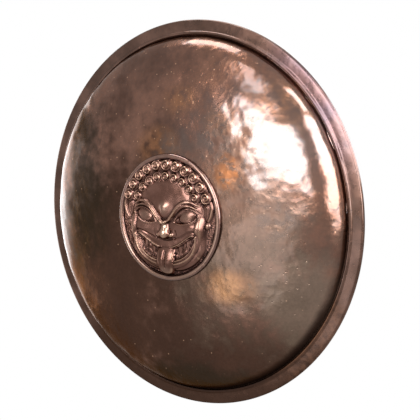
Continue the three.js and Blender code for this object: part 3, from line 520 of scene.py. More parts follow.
# this paint darkens the lower rim and the seam at the lower right as painted shade
colour = rim_finish.paint(
    RIM_DARK, (rim_finish.step(patch, 0.35, 0.68), RIM_LIGHT), (under * 0.9, RIM_SHADE), (plum * 0.6, PLUM),
    (plum * rim_finish.step(patch, 0.44, 0.60) * 0.7, DARK_PLUM),
    (warm * rim_finish.step(mottle, 0.30, 0.70) * 0.25, WARM),
    (seam * rim_finish.spot(*LOWER_RIGHT) * 0.85, SHADOW), (seam * warm * 0.5, WARM_SEAM))
rim_finish.wear(Base_Color=rim_finish.tint(colour, 0.8 + mottle * 0.4), Roughness=0.20 + mottle * 0.18,
                Coat_Weight=(0.25 + patch * 0.3) * (1 - under * 0.8),
                Normal=rim_finish.bump(hammered(rim_finish, 0.009, 0.16)))
print("rim bronze ready:", len(rim_finish.tree.nodes), "nodes")

# %% [markdown]
# ## The domed face
# The smith raised the face from one sheet over the wooden bowl. Its section is flat in the middle and turns
# ever faster towards a steep wall, which is a superellipse: (radius / 412)^2.5 + (depth / 100)^2.2 = 1. A
# disc drawn out from a square grid has cells of one size all over, where a turned grid would crowd at the
# middle.

# %% Face
DOME_RADIUS, DOME_RISE = 412.0, 100.0
RADIUS_POWER, DEPTH_POWER = 2.5, 2.2
SHEET = 0.8
FLANGE_RADIUS, FOOT_ROUND = 420.5, 1.5


def dome_depth(radius):
    """How far the dome stands in front of the rim, in mm: 100 (1 - (radius / 412)^2.5)^(1 / 2.2)."""
    share = np.clip(radius, 0, DOME_RADIUS) / DOME_RADIUS
    return DOME_RISE * (1 - share ** RADIUS_POWER) ** (1 / DEPTH_POWER)


def dome_line():
    """Radius and depth from the apex to the flange's edge, as angle t runs over a quarter turn: radius
    412 sin(t)^0.8 and depth 100 cos(t)^(2 / 2.2), then a small hollow round and the flat flange."""
    turn = np.linspace(0, np.pi / 2, 1500)
    radius = DOME_RADIUS * np.sin(turn) ** (2 / RADIUS_POWER)
    depth = DOME_RISE * np.cos(turn) ** (2 / DEPTH_POWER)
    keep = depth > FOOT_ROUND
    bend = np.linspace(0, np.pi / 2, 12)
    foot = DOME_RADIUS + FOOT_ROUND - FOOT_ROUND * np.cos(bend)
    radius = np.concatenate([radius[keep], foot, [FLANGE_RADIUS]])
    depth = np.concatenate([depth[keep], FOOT_ROUND - FOOT_ROUND * np.sin(bend), [0.0]])
    return radius, depth


def along_line(radius, depth, share):
    """A line's points at shares of its length, with the unit normals that point outwards and forwards."""
    length = np.concatenate([[0], np.cumsum(np.hypot(np.diff(radius), np.diff(depth)))])
    at = share * length[-1]
    slope_radius = np.interp(at, length, np.gradient(radius, length))
    slope_depth = np.interp(at, length, np.gradient(depth, length))
    size = np.hypot(slope_radius, slope_depth)
    radius, depth = np.interp(at, length, radius), np.interp(at, length, depth)
    return radius, depth, -slope_depth / size, slope_radius / size


def turned(radius, depth, angle):
    """Points on circles about the shield's axis: X and Z from radius and angle, Y from the depth."""
    radius, depth, angle = np.broadcast_arrays(radius, depth, angle)
    return np.stack([radius * np.cos(angle), RIM_FRONT_Y - depth, radius * np.sin(angle)], -1)


share, angle, grid, loop = disc_grid(270)
radius, depth, outward, forward = along_line(*dome_line(), share)
flat = turned(radius, depth, angle)
uneven = 0.42 * waves(flat, 45, 95, 60, seed=11) + 0.07 * waves(flat, 16, 30, 90, seed=12)
uneven *= np.clip((1 - share) / 0.06, 0, 1)
front = turned(radius + outward * uneven, depth + forward * uneven, angle)
# the rows behind lie closer towards the edge, where the section bends most
rows = 1 - np.linspace(0, 1, 24)[:-1] ** 1.3
back_radius, back_depth, back_out, back_forward = along_line(*dome_line(), rows)
rear = turned((back_radius - back_out * SHEET)[:, None], (back_depth - back_forward * SHEET)[:, None],
              angle[loop])
points, faces = closed_disc(front, grid, loop, rear, (0, RIM_FRONT_Y - DOME_RISE + SHEET, 0))
make_piece("hammered_face", points, faces, face_finish, "face_bronze", stands_for="bronze_face")

# %% [markdown]
# ## The rim band
# A bronze band wraps the flat wooden rim. Its inner edge is a small bead that lies over the foot of the
# face, its outer edge is rolled round the wood, and a hem is hammered flat on the back. One section is
# turned about the axis, and slow waves keep it from being machine-flat.

# %% Rim band
RIM_SIDES = 720
CROWN_RISE, CROWN_START, CROWN_WIDTH = 2.2, 424.0, 25.0
FOOT_OF_RIM = 415.7


def arc(middle_radius, middle_depth, size, first, last, steps, squeeze=1.0):
    """Radius and depth along an arc, whose angles in degrees start at outwards and turn to the front."""
    turn = np.radians(np.linspace(first, last, steps))
    return np.stack([middle_radius + size * np.cos(turn), middle_depth + squeeze * size * np.sin(turn)], -1)


# the section goes from the bead over the front, round the outer edge, along the back and inside the band
rim_line = np.concatenate([
    [(415.6, 0.25)], arc(419.6, 0.5, 4.0, 180, 20, 14, 0.66), [(424.6, 0.25), (427, 0.0)],
    np.stack([np.linspace(430, 444, 6), np.zeros(6)], -1),
    arc(446.5, -3.5, 3.5, 90, 0, 7), arc(446.5, -6.5, 3.5, 0, -90, 7),
    np.stack([np.linspace(443, 425, 5), np.full(5, -10.0)], -1),
    arc(423.4, -9.6, 0.4, 270, 90, 5),
    [(430, -9.2), (449.2, -9.2), (449.2, -0.8), (424.5, -0.8), (421.5, 0.2)]])
rim_radius, rim_depth = rim_line[:, :1], rim_line[:, 1:]
rim_points = turned(rim_radius, rim_depth, np.linspace(0, 2 * np.pi, RIM_SIDES, endpoint=False))
slow = waves(rim_points.reshape(-1, 3), 40, 110, 40, seed=21).reshape(rim_points.shape[:2])
on_front = (rim_depth > -0.5) & (rim_radius > 423)
crown = CROWN_RISE * (1 - np.clip((rim_radius - CROWN_START) / CROWN_WIDTH, 0, 1) ** 2) * (rim_depth > -0.6)
rim_points[..., 1] += 0.20 * slow * on_front - crown * (rim_radius > FOOT_OF_RIM)
make_piece("rolled_rim", rim_points, cells(len(rim_line), RIM_SIDES, True, True), rim_finish, "rim_bronze",
           stands_for="rim_band")

# %% [markdown]
# ## The gorgoneion
# The gorgon's face turned an enemy's stare back. Old ones are cast or beaten as a disc of their own, so
# this one is a separate dish with a bead round it. The relief is a height map, built as a carver builds it:
# a broad mound for the head, then rolls laid along drawn lines for brows, lids, lips and ears, then
# hollows, teeth, tongue and curls. Each kind of stroke is one small function of the distance to a line or
# to a middle.

# %% Strokes of the carver
EMBLEM_RADIUS = 146.0


def curve(places, steps=40):
    """A smooth line through places: on each span a Catmull-Rom cubic, at evenly spaced shares."""
    p = np.asarray(places, float)
    p = np.concatenate([2 * p[:1] - p[1:2], p, 2 * p[-1:] - p[-2:-1]])
    t = np.linspace(0, len(p) - 3 - 1e-9, steps)
    i = t.astype(int)
    t = (t - i)[:, None]
    a, b, c, d = p[i], p[i + 1], p[i + 2], p[i + 3]
    return 0.5 * (2 * b + (c - a) * t + (2 * a - 5 * b + 4 * c - d) * t ** 2
                  + (3 * b - a - 3 * c + d) * t ** 3)


def near(x, z, line, reach):
    """Distance from each point to a line of short straight runs, and the share of the line at the nearest
    place. Points further than the reach from the line's box are left out, with a distance of infinity."""
    best, along = np.full(x.shape, np.inf), np.zeros(x.shape)
    low, high = line.min(0) - reach, line.max(0) + reach
    close = np.flatnonzero((x > low[0]) & (x < high[0]) & (z > low[1]) & (z < high[1]))
    px, pz = x[close], z[close]
    start, run = line[:-1], np.diff(line, axis=0)
    for k, ((x0, z0), (dx, dz)) in enumerate(zip(start, run)):
        t = np.clip(((px - x0) * dx + (pz - z0) * dz) / (dx * dx + dz * dz), 0, 1)
        gap = np.hypot(px - x0 - t * dx, pz - z0 - t * dz)
        closer = gap < best[close]
        along[close] = np.where(closer, (k + t) / len(run), along[close])
        best[close] = np.where(closer, gap, best[close])
    return best, along


def roll(x, z, places, width, height, taper=0.35, flare=3.0):
    """A rounded roll along a line: height (1 - (distance / width)^2)^(1/2), both smaller towards its ends."""
    gap, along = near(x, z, curve(places), width)
    swell = 1 - taper * np.abs(2 * along - 1) ** flare
    return height * swell * np.sqrt(np.clip(1 - (gap / (width * swell)) ** 2, 0, 1))


def bell(x, z, places, width, height):
    """A soft ridge, or a groove where the height is below 0: height exp(-(distance / width)^2)."""
    gap, _ = near(x, z, curve(places), 3 * width)
    return height * np.exp(-(gap / width) ** 2)


def mound(x, z, place, size, height, turn=0.0, power=2.0):
    """A mound on an ellipse: height (1 - share^power)^(1/2), where share is the distance from its middle."""
    c, s = np.cos(turn), np.sin(turn)
    u, v = x - place[0], z - place[1]
    share = np.hypot((c * u + s * v) / size[0], (c * v - s * u) / size[1])
    return height * np.sqrt(np.clip(1 - share ** power, 0, 1))


def cloud(x, z, place, size, height, power=1.0):
    """A soft swelling without an edge: height exp(-share^(2 power)) on an ellipse."""
    share = ((x - place[0]) / size[0]) ** 2 + ((z - place[1]) / size[1]) ** 2
    return height * np.exp(-share ** power)


def round_max(a, b, softness):
    """The larger of two heights, with the corner between them rounded off."""
    return (a + b + np.sqrt((a - b) ** 2 + softness ** 2)) / 2


def within(x, z, outline):
    """Distance to a closed outline, above 0 inside it and below 0 outside: the outline winds once round a
    point that is inside."""
    line = np.concatenate([outline, outline[:1]])
    gap, _ = near(x, z, line, 20)
    turns = np.zeros(x.shape)
    for (x0, z0), (x1, z1) in zip(line[:-1], line[1:]):
        side = (x1 - x0) * (z - z0) - (x - x0) * (z1 - z0)
        turns += ((z0 <= z) & (z1 > z) & (side > 0)).astype(float)
        turns -= ((z1 <= z) & (z0 > z) & (side < 0)).astype(float)
    return np.where(turns != 0, gap, -gap)


print("strokes ready")

# %% [markdown]
# The head comes first: a broad mound with a full forehead and cheeks, and on it the brows and the almond
# eyes. Both halves of the face are alike, so each line is drawn once, on the distance from the middle.

# %% Head, brows and eyes
UPPER_LID = [(26, -9), (36, 6), (49, 17), (64, 21.5), (79, 19), (91, 10)]
LOWER_LID = [(91, 10), (80, -2), (64, -9), (45, -12), (26, -9)]
LID_FOLD = [(31, 9), (46, 22.5), (63, 28.5), (81, 26), (95, 16)]
BROW = [(-9, -7), (0, -8), (11, -4), (23, 9), (37, 26), (54, 37), (73, 38), (90, 31)]
JAW = [(92, 8), (97, -12), (97, -38), (90, -65), (73, -87), (48, -102), (20, -109), (-10, -109)]


def skull(head, x, z):
    """A broad mound, steepest at the jaw, and a fat roll round the mouth from the cheeks to the chin."""
    h = np.abs(x)
    share = np.hypot(h / 105, (z + 8) / np.where(z < -8, 111.0, 103.0))
    head = head + 13.0 * np.clip(1 - share ** 3.2, 0, 1) ** 0.5
    head += mound(h, z, (0, 46), (74, 46), 3.8, power=2.4)
    head += cloud(h, z, (0, 24), (13, 17), 6.0)
    head -= cloud(h, z, (57, 8), (30, 16), 4.5, 1.5)
    head += cloud(h, z, (72, -22), (26, 16), 6.0, 1.3)
    head += cloud(h, z, (34, -25), (22, 10), 2.2)
    return head + roll(h, z, JAW, 14, 8.5, 0.75, 6.0) * np.clip((109 - h) / 12, 0, 1)


def brows(head, x, z):
    """Two rolls side by side, from the bridge of the nose up to the temple."""
    for shift, size, high in ((0.0, 4.6, 5.4), (-8.0, 3.4, 3.6)):
        line = [(bx + 0.25 * shift * (bx > 0), bz + shift * (0.55 if bx < 12 else 1)) for bx, bz in BROW]
        head = head + roll(np.abs(x), z, line, size, high, 0.45)
    return head


def eyes(head, x, z):
    """An almond hollow, the ball in it, and fine lids with a fold above."""
    h = np.abs(x)
    signed = within(h, z, np.concatenate([curve(UPPER_LID, 20), curve(LOWER_LID, 20)[1:-1]]))
    head = head - 2.0 * np.clip(signed / 3 + 0.5, 0, 1)
    head = head + mound(h, z, (60, 5.5), (23, 13.5), 8.0, 0.25) * np.clip(signed / 2, 0, 1)
    head = head + roll(h, z, UPPER_LID, 3.0, 4.2, 0.5) + roll(h, z, LOWER_LID, 2.7, 3.4, 0.5)
    return head + roll(h, z, LID_FOLD, 2.1, 1.8, 0.6)


print("head, brows and eyes drawn")

# %% [markdown]
# The nose is narrow at the bridge and round at the tip. The wide mouth grins over two rows of teeth, with
# fangs that cross them. The mouth is a closed outline, and how far a point lies inside it says where it is
# hollow.

# %% Nose, mouth and teeth
WING_LINE = [(29, -28), (30, -38), (22, -46), (8, -49), (-8, -49)]
CHEEK_LINE = [(26, -46), (45, -40), (63, -32), (80, -29), (88, -36)]
LIP_EDGE = [(0, -70), (20, -67), (38, -60), (56, -49), (70, -41), (77, -39)]
LOWER_LIP = [(80, -45), (75, -62), (62, -79), (43, -91), (20, -97), (0, -98.5)]
CHIN_ROLL = [(87, -38), (83, -64), (69, -85), (48, -98), (23, -105), (-9, -106)]
TOOTH_PITCH = 12.5


def nose(head, x, z):
    """A narrow ridge that swells to a round tip, with a wing on either side and a groove below."""
    h = np.abs(x)
    down = np.clip((-6 - z) / 34, 0, 1)
    ridge = (8.0 + 6.5 * down) * np.sqrt(np.clip(1 - (h / (10.0 + 4.5 * down)) ** 2, 0, 1))
    ridge = ridge * np.clip((z + 44) / 8, 0, 1) ** 0.5 * np.clip((2 - z) / 10, 0, 1)
    whole = round_max(ridge, mound(h, z, (0, -34), (14.0, 14.5), 15.0, power=2.4), 4.0) - 1.2
    whole = round_max(np.clip(whole, 0, None), mound(h, z, (17, -38), (7.5, 6.0), 6.5, power=2.4), 2.0) - 0.9
    return head + whole + bell(h, z, WING_LINE, 2.4, -2.0)


def teeth(h, z):
    """Heights of the teeth: a row on each jaw, and two pairs of fangs that cross them."""
    top, low = curve(LIP_EDGE, 80), curve(LOWER_LIP[::-1], 80)
    top_z, low_z = np.interp(h, *top.T), np.interp(h, *low.T)
    room = top_z - low_z
    step = np.abs((h / TOOTH_PITCH + 0.5) % 1 * 2 - 1)
    round_tooth = np.sqrt(np.clip(1 - step ** 5, 0, 1))
    upper_row = np.clip((z - top_z + room * (0.47 - 0.14 * step ** 3)) / 1.8, 0, 1)
    lower_row = np.clip((low_z + room * (0.44 - 0.14 * step ** 3) - z) / 1.8, 0, 1)
    both = 1.7 * np.maximum(upper_row, lower_row) * round_tooth
    for middle, half in ((38, 8.5), (60, 7.0)):
        high_z, deep_z = np.interp(middle, *top.T), np.interp(middle, *low.T) + 3
        wide = half * np.clip((z - deep_z) / (high_z - deep_z), 0, 1)
        apart = wide - np.abs(h - middle)
        fang = 3.6 * np.sqrt(np.clip(apart / half, 0, 1))
        both = np.where(apart > 0, np.maximum(fang, 1.6),
                        both - 1.4 * np.exp(-(apart / 1.5) ** 2) * (wide > 0))
    return both


def mouth(head, x, z):
    """A smooth upper lip with a rolled edge, a double roll below the mouth, and the teeth in the hollow."""
    h = np.abs(x)
    head = head + bell(h, z, CHEEK_LINE, 2.8, -2.4)
    outline = np.concatenate([curve(LIP_EDGE, 24), curve(LOWER_LIP, 24)[1:]])
    outline = np.concatenate([outline, outline[-2:0:-1] * (-1, 1)])
    signed = within(x, z, outline)
    gape = np.clip(signed / 2 + 0.5, 0, 1)
    head = head * (1 - gape) + np.minimum(head, 7.5 - h / 40) * gape
    head = head + roll(h, z, [(-9, -69.5)] + LIP_EDGE, 3.8, 3.8, 0.1)
    head = head + roll(h, z, LOWER_LIP + [(-9, -98.5)], 3.6, 3.8, 0.1)
    head = head + roll(h, z, CHIN_ROLL, 2.8, 3.2, 0.1)
    return head + np.clip(signed / 1.5, 0, 1) * teeth(h, z)


print("nose, mouth and teeth drawn")

# %% [markdown]
# The tongue hangs over the chin, the ears are open Cs, and the hair is two rows of snail curls. Each curl
# is a cosine of the distance from its middle less the angle about it, which makes a spiral. Last comes the
# border.

# %% Tongue, ears, hair and border
TONGUE_SECTION = [(-132, 5), (-125, 14), (-113, 21), (-99, 24), (-84, 21), (-72, 16), (-62, 9)]
EAR_RIM = [(97, 38), (108, 45), (120, 41), (125, 27), (121, 9), (114, -3)]
EAR_FOLD = [(105, 31), (112, 28), (113, 15), (109, 4)]
CURL_ROWS = ((11, 121.5, 24.0, 15.0), (9, 94.5, 31.0, 14.6))
CURL_PITCH = 7.2


def tongue(head, x, z):
    """Over the lower lip and the chin, with a groove down its middle."""
    h = np.abs(x)
    profile = curve(TONGUE_SECTION, 60)
    half = 25 - 5 * np.clip((-z - 72) / 50, 0, 1)
    half = half * np.sqrt(np.clip(1 - np.clip((-z - 113) / 19, 0, 1) ** 2, 0.0004, 1))
    across = h / half
    high = np.interp(z, *profile.T) - 8 * (1 - np.sqrt(np.clip(1 - across ** 2.6, 0, 1)))
    high -= 3.2 * np.exp(-(h / 3.4) ** 2) * np.clip((121 + z) / 8, 0, 1) * np.clip((-72 - z) / 6, 0, 1)
    on_tongue = (across < 1) & (z < -66) & (z > -132)
    return np.where(on_tongue, np.maximum(high, 0), head)


def ears(head, x, z):
    """An open C with an inner fold and a lobe."""
    h = np.abs(x)
    ear = mound(h, z, (111, 17), (14, 27), 3.4, -0.1)
    ear = np.maximum(ear, roll(h, z, EAR_RIM, 5.2, 6.6, 0.2))
    ear = np.maximum(ear, roll(h, z, EAR_FOLD, 3.0, 5.0, 0.4))
    return np.maximum(head, np.maximum(ear, mound(h, z, (110, -14), (9, 9), 7.0)))


def hair(head, x, z):
    """Two rows of curls along the hairline: the number of curls, the radius of the row, the angle of its
    first curl and the size of a curl. Each is a coil round a raised eye, and they lie on a low cap."""
    curls = np.zeros(x.shape)
    for count, radius, first, size in CURL_ROWS:
        for angle in np.radians(np.linspace(first, 180 - first, count)):
            u, v = x - radius * np.cos(angle), z - radius * np.sin(angle)
            r = np.hypot(u, v)
            turn = np.arctan2(v, u) * np.where(np.cos(angle) > 0, 1, -1)
            coil = (np.cos(2 * np.pi * r / CURL_PITCH - turn) * np.clip(r / 3, 0, 1)
                    * np.clip((size - r) / 3, 0, 1))
            curl = (10.0 * np.sqrt(np.clip(1 - (r / size) ** 3.6, 0, 1)) + 2.2 * coil
                    + 1.5 * np.exp(-(r / 2.6) ** 2))
            curls = np.maximum(curls, np.where(r < size, curl, 0))
    reach = np.hypot(x, z)
    cap = (5.0 * np.clip((z - 38) / 12, 0, 1) * np.clip((reach - 82) / 4, 0, 1)
           * np.clip((134 - reach) / 3, 0, 1))
    return round_max(head, np.maximum(curls + 1.5 * (curls > 0), cap), 0.8) - 0.35


def border(head, x, z):
    """A groove and then a bead."""
    reach = np.hypot(x, z)
    head = np.clip(head, 0, None) * np.clip((135 - reach) / 2, 0, 1)
    head = head - 1.3 * np.exp(-((reach - 132.8) / 2.0) ** 2)
    bead = 5.2 * np.clip(1 - np.abs((reach - 139.5) / 6.5) ** 2, 0, 1) ** 0.5 + 0.8 * (reach > 134)
    return np.where(reach > 134, bead, head)


def gorgon(x, z):
    """Height in mm above the emblem's field: each group of strokes changes the heights of those before it."""
    head = np.zeros(x.shape)
    for strokes in (skull, brows, eyes, nose, mouth, tongue, ears, hair, border):
        head = strokes(head, x, z)
    return head


print("highest place of the face", round(float(gorgon(np.zeros(60), np.linspace(-60, 0, 60)).max()), 1), "mm")

# %% [markdown]
# Polish wears the high places bright and leaves dirt in the low ones; the brightening of the high places is
# also painted highlight, and the darkening of the low ones painted shade. How far a point stands above the
# average of its neighbours says which it is, so that number is kept on the mesh and the finish reads it. The
# nose, the boss on the forehead, the tongue's tip and the eyes are worn brighter still, partly as painted
# highlight, and the lower face is painted darker as shade.
# The ground behind the head is stippled with a punch, which is fine enough to be a bump.

# %% Emblem finish
EMBLEM_DARK, EMBLEM_LIGHT, LOWER_FACE_SHADE = (0.104, 0.048, 0.034), (0.150, 0.073, 0.054), (0.070, 0.030, 0.020)
DIRT_AND_SHADE, WEAR_AND_HIGHLIGHT, RUBBED_AND_HIGHLIGHT = (0.026, 0.012, 0.010), (0.36, 0.215, 0.14), (0.44, 0.29, 0.20)
PUNCHES_PER_METRE = 240.0
BORDER_START, BORDER_END = 0.1335, 0.1350
RUBBED_HIGHLIGHT_SPOTS = [(0.003, -0.028, 0.009, 0.026, 1.0), (0.0, 0.024, 0.018, 0.020, 0.35),
                (0.0, -0.120, 0.022, 0.014, 0.25),
                (0.060, 0.005, 0.022, 0.013, 0.20), (-0.060, 0.005, 0.022, 0.013, 0.20)]
emblem_finish = Finish("gorgoneion_bronze", Metallic=1.0, Coat_IOR=1.5, Coat_Roughness=0.10,
                       Specular_Tint=EDGE_TINT)
high = emblem_finish.attribute("high")
ground = emblem_finish.attribute("ground")
patch = emblem_finish.noise(0.035, 3.0, seed=7.7)
mottle = emblem_finish.noise(0.007, 3.0, seed=1.2)
# painted shade: the lower part of the face is darker
lower_face_shade = emblem_finish.spot(-0.02, -0.11, 0.16, 0.09, (patch - 0.5) * 0.8)
# bright spots on the nose, the forehead's boss, the tongue's tip and the eyes: wear and painted highlight
rubbed_and_highlight = reduce(Wire.larger, [emblem_finish.spot(*place) * share for *place, share in RUBBED_HIGHLIGHT_SPOTS])
border_share = emblem_finish.step(emblem_finish.away(), BORDER_START, BORDER_END)
# low places: dirt and painted shade; high places and rubbed spots: wear and painted highlight
colour = emblem_finish.paint(
    EMBLEM_DARK, (emblem_finish.step(patch, 0.35, 0.65), EMBLEM_LIGHT), (lower_face_shade * 0.7, LOWER_FACE_SHADE),
    (emblem_finish.step(high, 0.50, 0.15) * 0.85, DIRT_AND_SHADE),
    (emblem_finish.step(high, 0.60, 1.0) * 0.6, WEAR_AND_HIGHLIGHT),
    (rubbed_and_highlight * 0.55, RUBBED_AND_HIGHLIGHT))
punch = emblem_finish.cell(PUNCHES_PER_METRE)
stipple = ground * (punch * punch * 3.0)
emblem_finish.wear(Base_Color=emblem_finish.tint(colour, 0.85 + mottle * 0.3),
                   Roughness=0.19 + mottle * 0.12 + ground * 0.10,
                   Coat_Weight=high * 0.30 + rubbed_and_highlight * 0.5 + border_share * 0.5,
                   Normal=emblem_finish.bump(stipple + mottle * 0.05 + patch * 0.22))
print("emblem bronze ready:", len(emblem_finish.tree.nodes), "nodes")

# %% Emblem
ACROSS = 280
FIELD_RISE = 2.4
FOOT_RADIUS, FOOT_DEPTH, POLE_DEPTH = [146.0, 139.0, 70.0], [94.5, 94.5, 96.0], 97.0


def soften(values, reach):
    """Each number of a square grid replaced by the average of the numbers up to `reach` cells away."""
    for _ in range(2):
        padded = np.pad(values, ((reach + 1, reach), (0, 0)), mode="edge").cumsum(0)
        values = ((padded[2 * reach + 1:] - padded[:-2 * reach - 1]) / (2 * reach + 1)).T
    return values


share, angle, grid, loop = disc_grid(ACROSS)
radius = EMBLEM_RADIUS * share
x, z = radius * np.cos(angle), radius * np.sin(angle)
relief = gorgon(x, z)
uneven = 0.16 * waves(np.stack([x, 0 * x, z], -1), 14, 40, 60, seed=31) * (share < 0.9)
front = turned(radius, dome_depth(radius) + FIELD_RISE + relief + uneven, angle)
square = relief.reshape(ACROSS + 1, ACROSS + 1)
high = np.clip(0.5 + (square - soften(square, 7)) / 7, 0, 1)
ground = np.clip(1 - np.abs(soften(square, 3)) / 1.5, 0, 1) * (share.reshape(square.shape) < 0.91)
rows = turned(np.array(FOOT_RADIUS)[:, None], np.array(FOOT_DEPTH)[:, None], angle[loop])
points, faces = closed_disc(front, grid, loop, rows, (0, RIM_FRONT_Y - POLE_DEPTH, 0))
extra = len(points) - len(front)
make_piece("gorgoneion", points, faces, emblem_finish, "emblem_bronze", stands_for="gorgoneion_emblem",
           high=np.append(high.ravel(), np.full(extra, 0.5)),
           ground=np.append(ground.ravel(), np.zeros(extra)))

# %% [markdown]
# ## The inside
# The bearer sees the other side: the wooden bowl, lined with leather, and the fittings that carry the
# shield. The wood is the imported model's own boards, which only get a finish. The lining follows the same
# superellipse as the face, moved inwards by the wood's thickness, and is turned over the edge of the wood
# at the back.

# %% Wood
BOARDS, BOARD_WIDTH = 5, 180.0
WOOD_DARK, WOOD_LIGHT = (0.19, 0.10, 0.044), (0.46, 0.275, 0.135)
TONE_SCATTER = 12.9898
wood_finish = Finish("oiled_poplar", Metallic=0.0, Coat_IOR=1.45, Coat_Roughness=0.35)
fibre = wood_finish.noise(0.004, 4.0, stretch=(0.06, 0.3, 1), seed=2.0)
figure = wood_finish.noise(0.05, 3.0, stretch=(0.12, 0.4, 1), seed=6.0)
upright = wood_finish.node("SeparateXYZ", inputs={0: wood_finish.place}, output=2)
board = (upright / (BOARD_WIDTH * MM) + 0.5).maths("FLOOR")
# the sine of the board's number times a large factor gives each board a tone of its own
tone = (board * TONE_SCATTER).maths("SINE")
colour = wood_finish.mix(figure * 0.5 + fibre * 0.6, WOOD_DARK, WOOD_LIGHT)
wood_finish.wear(Base_Color=wood_finish.tint(colour, 1.0 + tone * 0.12), Roughness=0.42 + fibre * 0.25,
                 Coat_Weight=0.25, Normal=wood_finish.bump(fibre * 0.18 + figure * 0.15))
for number in range(1, BOARDS + 1):
    board_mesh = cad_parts[f"core_board_{number}"].data
    board_mesh.materials.clear()
    board_mesh.materials.append(wood_finish.material)
print(BOARDS, "boards finished")

# %% [markdown]
# The lining is vegetable-tanned leather, cut in gores like the skin of an orange so that it lies in the
# bowl, and greased dark by sweat and hands. The gores' seams run from the rim down to a plain round in the
# middle, so the finish needs the angle about the axis, which an arc tangent of the two coordinates gives.

# %% Leather
LINING_DARK, LINING_LIGHT, LINING_WORN = (0.082, 0.034, 0.013), (0.130, 0.056, 0.023), (0.24, 0.120, 0.055)
SEAM_DARK, THREAD = (0.02, 0.010, 0.006), (0.36, 0.27, 0.16)
PEBBLES_PER_METRE = 620.0
GORES, MIDDLE_ROUND = 12, 0.205
STITCHES_PER_METRE, STITCH_OFFSET = 160.0, 0.0045


def hide(name, dark, light, roughness):
    """Greased leather: a cloudy tone, a fine pebbled grain, and creases. The finish keeps its colour and its
    heights in mm, so that a piece can add seams or wear."""
    finish = Finish(name, Metallic=0.0, Coat_IOR=1.45, Coat_Roughness=0.32, Specular_IOR_Level=0.25)
    finish.cloudy = finish.noise(0.06, 4.0, seed=3.3)
    crease = finish.noise(0.012, 3.0, seed=8.8)
    finish.colour = finish.mix(finish.step(finish.cloudy + (crease - 0.5) * 0.4, 0.3, 0.7), dark, light)
    finish.height = finish.cell(PEBBLES_PER_METRE) * -0.10 + crease * 0.22
    finish.wear(Roughness=roughness + crease * 0.2, Coat_Weight=0.07)
    return finish


lining_finish = hide("greased_lining_leather", LINING_DARK, LINING_LIGHT, 0.48)
across = lining_finish.node("SeparateXYZ", inputs={0: lining_finish.place}, output=0)
upright = lining_finish.node("SeparateXYZ", inputs={0: lining_finish.place}, output=2)
turn = upright.maths("ARCTAN2", across) * (GORES / (2 * math.pi)) + 0.25
off_seam = (0.5 - (turn.fraction() - 0.5).size()) / GORES
reach = lining_finish.away()
seam_gap = off_seam * reach * (2 * math.pi)
ring_gap = (reach - MIDDLE_ROUND).size()
outside = lining_finish.step(reach, MIDDLE_ROUND - 0.0005, MIDDLE_ROUND + 0.0005)


def at_seams(wide, narrow):
    """1 on the gores' seams and on the middle round's seam, and 0 further than `wide` metres from them."""
    at_gores = lining_finish.step(seam_gap, wide, narrow) * outside
    return at_gores.larger(lining_finish.step(ring_gap, wide, narrow))


groove = at_seams(0.0016, 0.0003)
beside = at_seams(0.0085, 0.0020)
along_seam = lining_finish.step(((reach * STITCHES_PER_METRE).fraction() - 0.5).size(), 0.33, 0.25)
stitch = lining_finish.step((seam_gap - STITCH_OFFSET).size(), 0.0007, 0.0003) * along_seam * outside
worn = lining_finish.spot(0.0, 0.0, 0.30, 0.20, (lining_finish.cloudy - 0.5) * 1.4)
lining_finish.wear(
    Base_Color=lining_finish.paint(lining_finish.colour, (groove * 0.8, SEAM_DARK), (stitch * 0.85, THREAD),
                                   (worn * 0.30, LINING_WORN)),
    Normal=lining_finish.bump(lining_finish.height + beside * 0.5 - groove * 0.9 + stitch * 0.25))
sleeve_finish = hide("sleeve_leather", (0.11, 0.050, 0.022), (0.20, 0.095, 0.042), 0.40)
sleeve_finish.wear(Base_Color=sleeve_finish.colour, Normal=sleeve_finish.bump(sleeve_finish.height))
grip_finish = hide("grip_leather", (0.075, 0.032, 0.013), (0.125, 0.055, 0.022), 0.40)
print("leathers ready")

# %% [markdown]
# The solids under the leather are faceted: their line runs straight between eight stations, and they have
# 36 flat sides. The lining follows that line with its corners rounded off, at 0.996 of its radius, so that
# it touches the middle of each facet and no wood comes through. Where a fitting sits is worked out as in
# the solids.

# %% Lining
FLAT_SIDE = math.cos(math.radians(5))
FLOOR_DEPTH = 9.9
LINING = 1.5
STATIONS = 7
WALL_THICKENING = 3


def bowl_stations(inset):
    """Radius and depth at the eight stations of the dome's line, moved inwards along its normals by the inset
    and the wood's extra thickness, 3 (radius / 412)^4."""
    turn = np.pi / 2 * (np.arange(STATIONS + 1) / STATIONS) ** 0.8
    radius = DOME_RADIUS * np.sin(turn) ** (2 / RADIUS_POWER)
    depth = DOME_RISE * np.clip(np.cos(turn), 0, 1) ** (2 / DEPTH_POWER)
    outward = RADIUS_POWER * (radius / DOME_RADIUS) ** (RADIUS_POWER - 1) / DOME_RADIUS
    forward = DEPTH_POWER * (depth / DOME_RISE) ** (DEPTH_POWER - 1) / DOME_RISE
    size = np.hypot(outward, forward)
    inset = inset + WALL_THICKENING * (radius / DOME_RADIUS) ** 4
    return np.clip(radius - outward / size * inset, 0, None), depth - forward / size * inset


